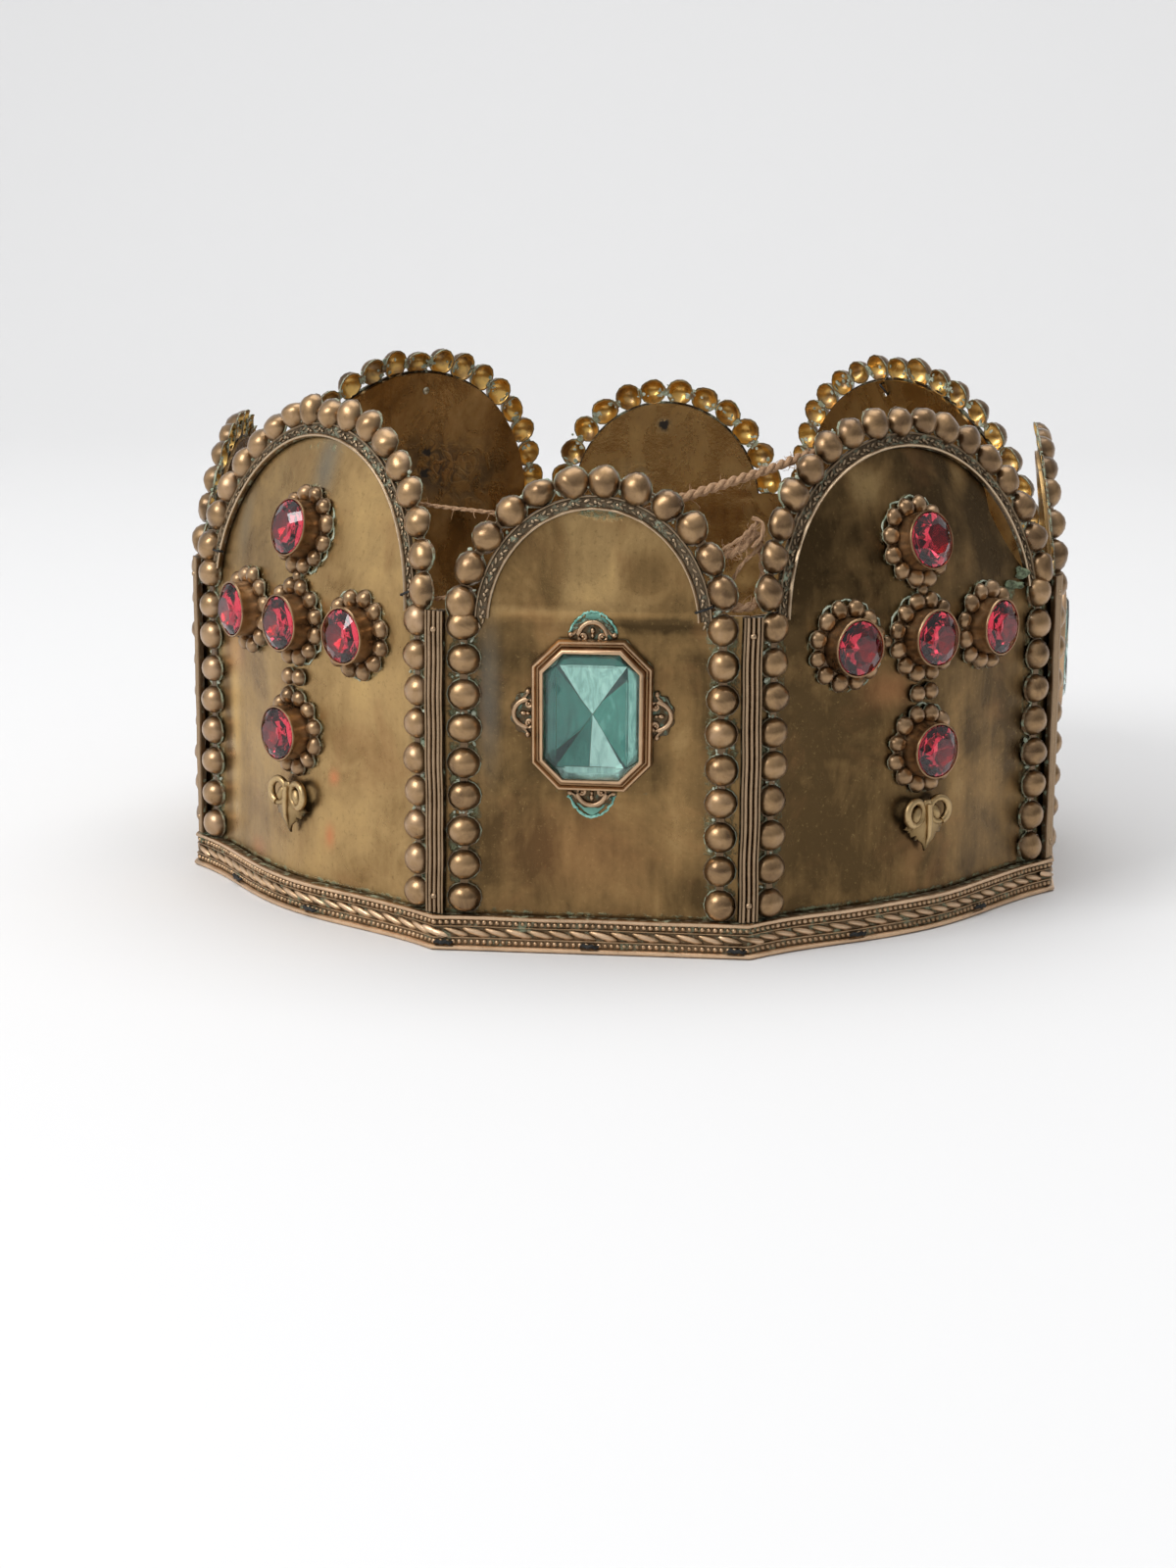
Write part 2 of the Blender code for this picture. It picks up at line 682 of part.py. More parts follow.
def twine_route():
    """From a bead gap on the front left arch, inside the front arch, to the front right arch."""
    return [
        (surface_point(7, 0.0314, 0.1042, -0.0022), THREAD_SHARE),
        (surface_point(7, 0.0360, 0.1026, -0.0026), THREAD_SHARE),
        (surface_point(0, -0.0243, 0.1020, -0.0028), THREAD_SHARE),
        (surface_point(0, -0.0157, 0.1010, -0.0028), THREAD_SHARE),
        (surface_point(0, -0.0020, 0.1010, -0.0029), THREAD_SHARE),
        (surface_point(0, 0.0100, 0.1031, -0.0030), THREAD_SHARE),
        (surface_point(0, 0.0190, 0.1060, -0.0032), 1.0),
        (surface_point(1, -0.0381, 0.1119, -0.0030), 1.0),
        (surface_point(1, -0.0236, 0.1149, -0.0028), 1.0),
        (surface_point(1, -0.0175, 0.1132, -0.0032), 1.0),
    ]


def lashing_route():
    """Along the shoulders over a corner, up behind the first beads and across to the front arch."""
    return [
        (surface_point(0, 0.0262, 0.0816, -0.0014), 1.0),
        (surface_point(0, 0.0320, 0.0816, -0.0014), 1.0),
        (surface_point(1, -0.0488, 0.0818, -0.0018), 1.0),
        (surface_point(1, -0.0450, 0.0835, -0.0024), 1.0),
        (surface_point(1, -0.0432, 0.0885, -0.0024), 1.0),
        (surface_point(1, -0.0430, 0.0940, -0.0022), 1.0),
        (surface_point(1, -0.0448, 0.0982, -0.0018), 1.0),
        (surface_point(0, 0.0335, 0.0955, -0.0020), 1.0),
        (surface_point(0, 0.0294, 0.0932, -0.0024), 1.0),
        (surface_point(0, 0.0262, 0.0925, -0.0028), 1.0),
    ]


def build():
    clear_scene()
    crown = new_collection("theatrical_crown")
    workshop = new_collection("workshop")
    flats = {}
    for wide in (False, True):
        flats["sheet", wide] = make_sheet(wide, workshop)
    flats["frame"] = make_frame(workshop)
    flats["stone"] = make_stone(workshop)
    flats["cross"] = make_cross(workshop)
    for part, place in rosette_places().items():
        flats["ruby", part] = make_ruby(place, workshop)
    for index, (name, wide, slip) in enumerate(PANELS):
        border = make_border(wide, slip, workshop)
        bent_copy(flats["sheet", wide], index, "panel_" + name, BRASS_SHEET, crown)
        bent_copy(border, index, "bead_border_" + name, BRASS_BEAD, crown)
        if wide:
            bent_copy(flats["cross"], index, "cross_" + name, BRASS_BEAD, crown)
            for part in rosette_places():
                bent_copy(flats["ruby", part], index, f"ruby_{name}_{part}", RUBY_GLASS, crown)
        else:
            bent_copy(flats["frame"], index, "stone_frame_" + name, BRASS_TRIM, crown)
            bent_copy(flats["stone"], index, "teal_stone_" + name, TEAL_GLASS, crown)
        following = PANELS[(index + 1) % len(PANELS)][0]
        make_pilaster(index, f"pilaster_{name}_to_{following}", crown)
    make_border_ring(crown)
    make_twine("twine_span", twine_route(), TWINE_RADIUS, crown)
    make_twine("twine_lashing", lashing_route(), LASHING_RADIUS, crown)
    for obj in list(workshop.objects):
        bpy.data.objects.remove(obj, do_unlink=True)
    bpy.data.collections.remove(workshop)


build()
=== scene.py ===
"""Finishes and fine detail of an eight-sided theatrical crown of aged brass.

Every ornament that lies on a panel is first made flat, in the panel's own coordinates: x across
the panel, y up it and z out of it, in metres. It is then bent onto the panel's bowed surface.
"""
import logging
from collections.abc import Callable, Sequence
from dataclasses import dataclass
from enum import Enum
from math import asin, atan2, cos, pi, radians, sin, sqrt, tan

import bmesh
import bpy
import numpy as np
from mathutils import Matrix, Vector


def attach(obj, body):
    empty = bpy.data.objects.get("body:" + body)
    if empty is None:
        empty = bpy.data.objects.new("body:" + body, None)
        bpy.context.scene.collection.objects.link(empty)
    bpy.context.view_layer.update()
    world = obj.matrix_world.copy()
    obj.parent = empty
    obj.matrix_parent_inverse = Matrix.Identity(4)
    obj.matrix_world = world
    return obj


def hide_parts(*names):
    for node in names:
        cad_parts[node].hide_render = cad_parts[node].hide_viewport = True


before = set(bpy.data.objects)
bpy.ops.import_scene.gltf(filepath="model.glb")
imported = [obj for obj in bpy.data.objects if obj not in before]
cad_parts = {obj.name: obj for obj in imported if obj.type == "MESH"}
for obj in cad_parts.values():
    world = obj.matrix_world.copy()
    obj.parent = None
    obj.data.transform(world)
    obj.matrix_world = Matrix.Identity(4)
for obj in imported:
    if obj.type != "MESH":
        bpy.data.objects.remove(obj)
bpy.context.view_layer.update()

LOG = logging.getLogger("crown")

BODY = "root"
TURN = radians(45)
SHOULDER = 0.0798
LEAN_START = 0.075
LEAN_POWER = 1.5
SLOPE_STEP = 0.0002
WELD = 0.00002
GAP = 0.0003
MM = 0.001
COLUMN_INSET = 0.0063
STONE_UP = 0.0564
CROSS_UP = 0.0705

Array = np.ndarray
Colour = tuple[float, float, float]
Material = bpy.types.Material
Mesh = bpy.types.Mesh
Object = bpy.types.Object
Place = Sequence[float]
Socket = bpy.types.NodeSocket


@dataclass(frozen=True)
class PanelSizes:
    """Sizes of one kind of panel, in metres."""
    width: float
    arch_inset: float
    arch_rise: float
    arch_drop: float
    arch_beads: int
    lean: float
    bow_foot: float
    bow_top: float


class PanelKind(Enum):
    """The two kinds of panel that alternate round the crown."""
    NARROW = PanelSizes(0.072, 0.0056, 0.0328, 0.0032, 12, 0.004, 0.0, 0.0)
    WIDE = PanelSizes(0.1, 0.004, 0.0462, 0.0055, 17, 0.01, 0.0067, 0.003)


@dataclass(frozen=True)
class Panel:
    """One panel of the ring, and the way onto its surface."""
    index: int
    name: str
    kind: PanelKind
    slip: float = 0.0

    @property
    def half(self) -> float:
        """Half the panel's width."""
        return self.kind.value.width / 2

    @property
    def is_wide(self) -> bool:
        """Whether the panel carries a cross."""
        return self.kind is PanelKind.WIDE

    @property
    def spring(self) -> float:
        """Height where the arch springs."""
        return SHOULDER - self.kind.value.arch_drop

    @property
    def arch_half(self) -> float:
        """Half the width of the arch's bead line."""
        return self.half - self.kind.value.arch_inset

    @property
    def axes(self) -> tuple[Array, Array]:
        """Directions along the panel and out of it."""
        angle = self.index * TURN
        along = np.array((cos(angle), sin(angle), 0.0))
        return along, np.array((sin(angle), -cos(angle), 0.0))

    @property
    def distance(self) -> float:
        """From the crown's axis to the panel's chord."""
        other = PanelKind.NARROW if self.is_wide else PanelKind.WIDE
        return self.half + other.value.width * cos(TURN)

    def offset(self, across: Array, up: Array) -> Array:
        """How far the outer face stands out from the chord.

        Args:
            across: Places across the panel.
            up: Heights.

        Returns:
            The offsets, inwards where negative.
        """
        sizes = self.kind.value
        top = self.spring + sizes.arch_rise
        lean = sizes.lean * np.clip((up - LEAN_START) / (top - LEAN_START), 0, None) ** LEAN_POWER
        bow = sizes.bow_foot + (sizes.bow_top - sizes.bow_foot) * np.clip(up / top, None, 1)
        share = np.clip(np.abs(across) / self.half, None, 1)
        return bow * np.cos(pi / 2 * share) ** 2 - lean

    def place(self, flat: Array) -> Array:
        """Puts flat points onto the panel.

        Args:
            flat: Points (n, 3) as across, up and out.

        Returns:
            The points (n, 3) in the crown's frame.
        """
        across, up, out = np.asarray(flat, float).T
        offset = self.offset(across, up)
        slope_across = (self.offset(across + SLOPE_STEP, up) - offset) / SLOPE_STEP
        slope_up = (self.offset(across, up + SLOPE_STEP) - offset) / SLOPE_STEP
        along, outward = self.axes
        rise = np.array((0.0, 0.0, 1.0))
        normal = outward - np.outer(slope_across, along) - np.outer(slope_up, rise)
        normal /= np.linalg.norm(normal, axis=1)[:, None]
        foot = np.outer(across, along) + np.outer(self.distance + offset, outward) + np.outer(up, rise)
        return foot + normal * out[:, None]

    def point(self, across: float, up: float, out: float) -> Array:
        """One flat point on the panel."""
        return self.place(np.array([[across, up, out]]))[0]

    def arch(self, inset: float, angles: Array) -> Array:
        """Points (n, 2) on the arch, so far inside its bead line."""
        rise = self.kind.value.arch_rise - inset
        return np.column_stack(((self.arch_half - inset) * np.cos(angles), self.spring + rise * np.sin(angles)))

    def arch_start(self, inset: float, height: float) -> float:
        """Angle where the arch passes a height."""
        return asin((height - self.spring) / (self.kind.value.arch_rise - inset))


NAMES = ("front", "front_right", "right", "back_right", "back", "back_left", "left", "front_left")
SLIPS = {"front": -0.0018, "front_right": 0.0014}
PANELS = [Panel(i, name, PanelKind.WIDE if i % 2 else PanelKind.NARROW, SLIPS.get(name, 0.0))
          for i, name in enumerate(NAMES)]
BY_NAME = {panel.name: panel for panel in PANELS}
CROSS = {"middle": (0.0, CROSS_UP), "left": (-0.0228, CROSS_UP), "right": (0.0228, CROSS_UP),
         "top": (0.0, CROSS_UP + 0.0219), "bottom": (0.0, CROSS_UP - 0.0267)}


# Mesh tools

def new_object(name: str, data: bpy.types.ID) -> Object:
    """An object in the scene with the given data."""
    made = bpy.data.objects.new(name, data)
    bpy.context.scene.collection.objects.link(made)
    return made


def evaluated(obj: Object) -> Mesh:
    """The plain mesh of an object, which is then removed."""
    depsgraph = bpy.context.evaluated_depsgraph_get()
    depsgraph.update()
    mesh = bpy.data.meshes.new_from_object(obj.evaluated_get(depsgraph))
    bpy.data.objects.remove(obj, do_unlink=True)
    return mesh


def coordinates(mesh: Mesh) -> Array:
    """A mesh's points (n, 3)."""
    found = np.empty(len(mesh.vertices) * 3)
    mesh.vertices.foreach_get("co", found)
    return found.reshape(-1, 3)


def set_coordinates(mesh: Mesh, points: Array) -> None:
    """Moves a mesh's points."""
    mesh.vertices.foreach_set("co", np.ascontiguousarray(points, dtype=np.float32).ravel())
    mesh.update()


def set_attribute(mesh: Mesh, name: str, values: Array) -> None:
    """Stores a number or a vector for each point."""
    kind, key = ("FLOAT_VECTOR", "vector") if values.ndim == 2 else ("FLOAT", "value")
    layer = mesh.attributes.get(name) or mesh.attributes.new(name, kind, "POINT")
    layer.data.foreach_set(key, np.ascontiguousarray(values, dtype=np.float32).ravel())


def from_bmesh(bm: bmesh.types.BMesh, outwards: bool = True, weld: bool = True) -> Mesh:
    """A mesh of a closed shape with its doubles merged and its faces out."""
    if weld:
        bmesh.ops.remove_doubles(bm, verts=bm.verts, dist=WELD)
    if outwards:
        bmesh.ops.recalc_face_normals(bm, faces=bm.faces)
        if bm.calc_volume(signed=True) < 0:
            bmesh.ops.reverse_faces(bm, faces=bm.faces)
    mesh = bpy.data.meshes.new("shape")
    bm.to_mesh(mesh)
    bm.free()
    return mesh


def unit(rows: Array) -> Array:
    """Vectors made one long."""
    return rows / np.linalg.norm(rows, axis=-1, keepdims=True)


def steps_along(path: Array) -> Array:
    """The lengths of a path's steps."""
    return np.linalg.norm(np.diff(path, axis=0), axis=1)


def circle(count: int) -> Array:
    """Angles evenly round a circle."""
    return np.linspace(0, 2 * pi, count, endpoint=False)


def turned(profile: Sequence[Place], segments: int) -> Mesh:
    """A closed profile of radius and height turned round the z axis.

    Args:
        profile: The points, the first and last of which are joined.
        segments: Sides of the turned shape.

    Returns:
        The mesh.
    """
    bm = bmesh.new()
    verts = [bm.verts.new((radius, 0, height)) for radius, height in profile]
    edges = [bm.edges.new(pair) for pair in zip(verts, verts[1:] + verts[:1])
             if (pair[0].co - pair[1].co).length > WELD and max(pair[0].co.x, pair[1].co.x) > WELD]
    bmesh.ops.spin(bm, geom=verts + edges, axis=(0, 0, 1), cent=(0, 0, 0), angle=2 * pi,
                   steps=segments, use_merge=True, use_duplicate=False)
    return from_bmesh(bm)


def dome(radius: float, height: float, segments: int, rings: int, foot: float = 0.0) -> Mesh:
    """A half-round button with a flat back."""
    angles = [pi / 2 * i / rings for i in range(rings + 1)]
    profile = [(radius * cos(a), foot + height * sin(a)) for a in angles]
    profile[-1] = (0.0, foot + height)
    return turned([(0.0, foot)] + profile, segments)


def lofted(rows: Sequence[Sequence[Place]], closed: bool = False) -> Mesh:
    """A skin over rings of points, with its ends filled or joined."""
    bm = bmesh.new()
    verts = [[bm.verts.new(place) for place in row] for row in rows]
    for first, second in zip(verts, verts[1:] + (verts[:1] if closed else [])):
        for i, vert in enumerate(first):
            j = (i + 1) % len(first)
            bm.faces.new((vert, first[j], second[j], second[i]))
    if not closed:
        bm.faces.new(verts[0])
        bm.faces.new(verts[-1])
    return from_bmesh(bm)


def swept(path: Array, section: Sequence[Place], closed: bool) -> Mesh:
    """A closed section drawn along a path in the xy plane, with mitred corners.

    Args:
        path: Points (n, 2).
        section: Points as offset to the right of the path and height.
        closed: Whether the path is a ring.

    Returns:
        The mesh.
    """
    step = np.diff(np.vstack((path, path[:1])), axis=0)
    if not closed:
        step[-1] = step[-2]
    step = unit(step)
    before = np.roll(step, 1, axis=0)
    if not closed:
        before[0] = step[0]
    both = unit(step + before)
    mitre = 1 / np.clip((both * step).sum(axis=1), 0.5, None)
    side = np.column_stack((both[:, 1], -both[:, 0])) * mitre[:, None]
    return lofted([[(*(place + out * offset), height) for offset, height in section]
                   for place, out in zip(path, side)], closed)


def outlined(rings: Sequence[Sequence[Place]], radii: Sequence[float] | None = None, closed: bool = True,
             **settings: object) -> bmesh.types.BMesh:
    """The faces that a curve through the points has.

    Args:
        rings: The points of each of its lines.
        radii: The bar's radius at each point.
        closed: Whether the lines are closed.
        **settings: The curve's settings.

    Returns:
        The faces.
    """
    curve = bpy.data.curves.new("outline", "CURVE")
    for key, value in settings.items():
        setattr(curve, key, value)
    for ring in rings:
        spline = curve.splines.new("POLY")
        spline.points.add(len(ring) - 1)
        for i, place in enumerate(ring):
            spline.points[i].co = (*place, *[0] * (3 - len(place)), 1)
            spline.points[i].radius = radii[i] if radii else 1
        spline.use_cyclic_u = closed
    bm = bmesh.new()
    bm.from_mesh(evaluated(new_object("outline", curve)))
    return bm


def tube(points: Sequence[Place], radii: float | Place, sides: int = 8, closed: bool = False) -> Mesh:
    """A round bar along a route, as thick as each point says."""
    thick = [radii] * len(points) if isinstance(radii, float) else radii
    return from_bmesh(outlined([points], thick, closed, dimensions="3D", bevel_depth=1.0,
                               bevel_resolution=max(0, (sides - 4) // 2), use_fill_caps=not closed))


def plate(outline: Array, low: float, high: float, edge: float) -> Mesh:
    """A flat plate of the given outline, with softened edges."""
    mesh = from_bmesh(outlined([outline], dimensions="2D", fill_mode="BOTH", extrude=(high - low) / 2 - edge,
                               bevel_depth=edge, bevel_resolution=1, offset=-edge))
    mesh.transform(Matrix.Translation((0, 0, (high + low) / 2)))
    return mesh


def sliced(bm: bmesh.types.BMesh, normal: Place, places: Sequence[float]) -> None:
    """Cuts a shape's faces by planes across the normal, at those places along it."""
    for place in places:
        bmesh.ops.bisect_plane(bm, geom=bm.verts[:] + bm.edges[:] + bm.faces[:],
                               plane_co=Vector(normal) * place, plane_no=normal)


def wobble(mesh: Mesh, seed: int, size: float, wave: float, share: Array | float = 1.0) -> None:
    """Pushes a mesh's points about by smooth random waves.

    Args:
        mesh: The mesh.
        seed: Fixes the waves.
        size: How far a point moves at the most likely.
        wave: Length of the waves.
        share: Share of the movement, for all points or as a row for each.
    """
    rng = np.random.default_rng(seed)
    points = coordinates(mesh)
    total = np.zeros_like(points)
    for _ in range(5):
        lead = rng.normal(0, 1, 3)
        lead *= 2 * pi / wave * rng.uniform(0.6, 1.3) / np.linalg.norm(lead)
        total += np.outer(np.sin(points @ lead + rng.uniform(0, 6)), rng.normal(0, size / 2, 3))
    set_coordinates(mesh, points + total * share)


def faceted(facets: Sequence[tuple[Sequence[Sequence[float]], float]], thickness: float,
            share: float = 0.985) -> Mesh:
    """Thin flat facets side by side, each with a tone of its own.

    Args:
        facets: Each facet's corners and its tone.
        thickness: How thick the facets are, downwards.
        share: Part of its room that a facet fills, so that a fine line is left between two.

    Returns:
        The mesh.
    """
    bm = bmesh.new()
    tone = bm.verts.layers.float.new("tone")
    for points, value in facets:
        middle = sum((Vector(point) for point in points), Vector()) / len(points)
        upper = [bm.verts.new(middle.lerp(Vector(point), share)) for point in points]
        lower = [bm.verts.new(vert.co - Vector((0, 0, thickness))) for vert in upper]
        for vert in upper + lower:
            vert[tone] = value
        bm.faces.new(upper)
        bm.faces.new(lower[::-1])
        for i in range(len(points)):
            bm.faces.new((upper[i - 1], upper[i], lower[i], lower[i - 1]))
    return from_bmesh(bm, weld=False)


def moved(mesh: Mesh, place: Place, turn: float = 0.0, size: Place = (1, 1, 1)) -> Mesh:
    """A copy of a mesh, scaled, turned about z and put in place."""
    copy = mesh.copy()
    scale = Matrix.Diagonal((*size, 1))
    copy.transform(Matrix.Translation(tuple(place)) @ Matrix.Rotation(turn, 4, "Z") @ scale)
    return copy


def bump(place: Place, size: Place, turn: float = 0.0, sides: int = 8, rings: int = 3) -> Mesh:
    """A small half-round bump with a radius for each axis."""
    return moved(dome(1.0, 1.0, sides, rings), place, turn, size)


class Piece:
    """One visible piece, gathered from meshes and bent onto its panel."""

    def __init__(self, name: str, finishes: Sequence[Material]) -> None:
        """Starts an empty piece.

        Args:
            name: The piece's name.
            finishes: Its materials, in the order that add() numbers them.
        """
        self.name = name
        self.finishes = list(finishes)
        self.parts: list[tuple[Mesh, int]] = []

    def add(self, *meshes: Mesh, finish: int = 0) -> None:
        """Takes meshes in, which are used up, with the number of their material."""
        for mesh in meshes:
            if "inner" not in mesh.attributes:
                set_attribute(mesh, "inner", np.zeros(len(mesh.vertices)))
            self.parts.append((mesh, finish))

    def finished(self, node: str = "", bend: Callable[[Array], Array] | None = None,
                 sharp: float = 40.0, smooth: bool = True) -> Object:
        """Joins what was added into one object.

        Args:
            node: The node that the piece stands for, where it has one.
            bend: Moves the points (n, 3) to their place in the crown's frame.
            sharp: Edges that turn more than this many degrees stay sharp.
            smooth: Whether the faces are shaded smooth.

        Returns:
            The object, riding on the crown.
        """
        parts = [new_object("part", mesh) for mesh, _ in self.parts]
        for mesh, number in self.parts:
            mesh.materials.clear()
            for finish in self.finishes:
                mesh.materials.append(finish)
            mesh.polygons.foreach_set("material_index", [number] * len(mesh.polygons))
        with bpy.context.temp_override(active_object=parts[0], object=parts[0], selected_objects=parts,
                                       selected_editable_objects=parts):
            bpy.ops.object.join()
        made = parts[0]
        made.name = self.name
        made.data.name = self.name
        flat = coordinates(made.data)
        set_attribute(made.data, "flat", flat)
        if bend:
            set_coordinates(made.data, bend(flat))
        made.data.polygons.foreach_set("use_smooth", [smooth] * len(made.data.polygons))
        if smooth:
            made.data.set_sharp_from_angle(angle=radians(sharp))
        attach(made, BODY)
        if node:
            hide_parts(node)
        faces = sum(len(face.vertices) - 2 for face in made.data.polygons)
        LOG.info("%s: %d triangles", self.name, faces)
        return made


# Geometry Nodes

class Nodes:
    """Makes the nodes of one tree."""

    def __init__(self, tree: bpy.types.NodeTree) -> None:
        """Works on that tree."""
        self.tree = tree

    def put(self, kind: str, links: dict[str | int, object] | None = None,
            **settings: object) -> bpy.types.Node:
        """Adds a node, with its settings and its inputs' links or values."""
        node = self.tree.nodes.new(kind)
        for key, value in settings.items():
            setattr(node, key, value)
        for key, value in (links or {}).items():
            named = (item for item in node.inputs if item.name == key and item.enabled)
            socket = node.inputs[key] if isinstance(key, int) else next(named)
            if isinstance(value, Socket):
                self.tree.links.new(value, socket)
            else:
                socket.default_value = value
        return node


class Tree(Nodes):
    """A Geometry Nodes tree with named inputs."""

    def __init__(self, name: str, inputs: dict[str, str]) -> None:
        """Makes the tree.

        Args:
            name: The tree's name.
            inputs: Each further input's name and socket kind, after shape and finish.
        """
        super().__init__(bpy.data.node_groups.new(name, "GeometryNodeTree"))
        self.keys: dict[str, str] = {}
        interface = self.tree.interface
        interface.new_socket("Geometry", in_out="INPUT", socket_type="NodeSocketGeometry")
        for label, kind in {"Shape": "Object", "Finish": "Material", **inputs}.items():
            made = interface.new_socket(label, in_out="INPUT", socket_type="NodeSocket" + kind)
            self.keys[label] = made.identifier
        interface.new_socket("Geometry", in_out="OUTPUT", socket_type="NodeSocketGeometry")
        self.source = self.put("NodeGroupInput")

    def end(self, points: Socket, rotation: Socket, scale: Socket) -> None:
        """Puts the shape on the points and ends the tree in plain faces with their material."""
        shape = self.put("GeometryNodeObjectInfo", {"Object": self.source.outputs["Shape"]})
        placed = self.put("GeometryNodeInstanceOnPoints", {
            "Points": points, "Instance": shape.outputs["Geometry"], "Rotation": rotation, "Scale": scale})
        plain = self.put("GeometryNodeRealizeInstances", {"Geometry": placed.outputs["Instances"]})
        coated = self.put("GeometryNodeSetMaterial", {
            "Geometry": plain.outputs["Geometry"], "Material": self.source.outputs["Finish"]})
        self.put("NodeGroupOutput", {"Geometry": coated.outputs["Geometry"]})

    def run(self, path: Mesh, shape: Mesh, finish: Material,
            **values: object) -> Mesh:
        """The plain mesh that the tree makes.

        Args:
            path: Points or edges that the copies follow.
            shape: What is repeated.
            finish: Its material.
            **values: The other inputs, by name.

        Returns:
            The mesh.
        """
        stamp = new_object("stamp", shape)
        host = new_object("host", path)
        modifier = host.modifiers.new("repeat", "NODES")
        modifier.node_group = self.tree
        for label, value in {"Shape": stamp, "Finish": finish, **values}.items():
            modifier[self.keys[label]] = value
        mesh = evaluated(host)
        bpy.data.objects.remove(stamp, do_unlink=True)
        return mesh


def make_scatter_tree() -> Tree:
    """Copies of a shape on points that carry a size and a turn, each tilted a little at random."""
    tree = Tree("pressed_rows", {"Tilt": "Float", "Seed": "Int"})
    entry = tree.source.outputs
    size = tree.put("GeometryNodeInputNamedAttribute", {"Name": "size"}, data_type="FLOAT_VECTOR")
    turn = tree.put("GeometryNodeInputNamedAttribute", {"Name": "turn"}, data_type="FLOAT")
    upright = tree.put("ShaderNodeCombineXYZ", {"Z": turn.outputs["Attribute"]})
    least = tree.put("ShaderNodeMath", {0: entry["Tilt"], 1: -1.0}, operation="MULTIPLY")
    tilt = tree.put("FunctionNodeRandomValue", {"Min": least.outputs[0], "Max": entry["Tilt"],
                                                "Seed": entry["Seed"]}, data_type="FLOAT_VECTOR")
    total = tree.put("ShaderNodeVectorMath", {0: upright.outputs[0], 1: tilt.outputs[0]}, operation="ADD")
    points = tree.put("GeometryNodeMeshToPoints", {"Mesh": entry["Geometry"]})
    tree.end(points.outputs["Points"], total.outputs[0], size.outputs["Attribute"])
    return tree


def make_path_tree() -> Tree:
    """Copies of a shape spaced along a path, turned to follow it."""
    tree = Tree("stamped_run", {"Count": "Int", "Variation": "Float", "Seed": "Int"})
    entry = tree.source.outputs
    curve = tree.put("GeometryNodeMeshToCurve", {"Mesh": entry["Geometry"]})
    points = tree.put("GeometryNodeCurveToPoints", {"Curve": curve.outputs["Curve"], "Count": entry["Count"]},
                      mode="COUNT")
    follow = tree.put("FunctionNodeAlignRotationToVector", {"Vector": points.outputs["Tangent"]},
                      axis="X", pivot_axis="Z")
    least, most = (tree.put("ShaderNodeMath", {0: 1.0, 1: entry["Variation"]}, operation=way)
                   for way in ("SUBTRACT", "ADD"))
    scale = tree.put("FunctionNodeRandomValue", {"Min": least.outputs[0], "Max": most.outputs[0],
                                                 "Seed": entry["Seed"]}, data_type="FLOAT")
    tree.end(points.outputs["Points"], follow.outputs["Rotation"], scale.outputs["Value"])
    return tree


def points_mesh(places: Array, sizes: Array, turns: Array) -> Mesh:
    """Loose points (n, 3) that carry sizes (n, 3) and turns (n,)."""
    mesh = bpy.data.meshes.new("points")
    mesh.from_pydata([tuple(place) for place in places], [], [])
    set_attribute(mesh, "size", np.asarray(sizes, float))
    set_attribute(mesh, "turn", np.asarray(turns, float))
    return mesh


def path_mesh(path: Array, closed: bool = False) -> Mesh:
    """A chain of edges through the points (n, 3)."""
    mesh = bpy.data.meshes.new("path")
    count = len(path)
    edges = [(i, (i + 1) % count) for i in range(count if closed else count - 1)]
    mesh.from_pydata([tuple(place) for place in path], edges, [])
    return mesh


# Finishes

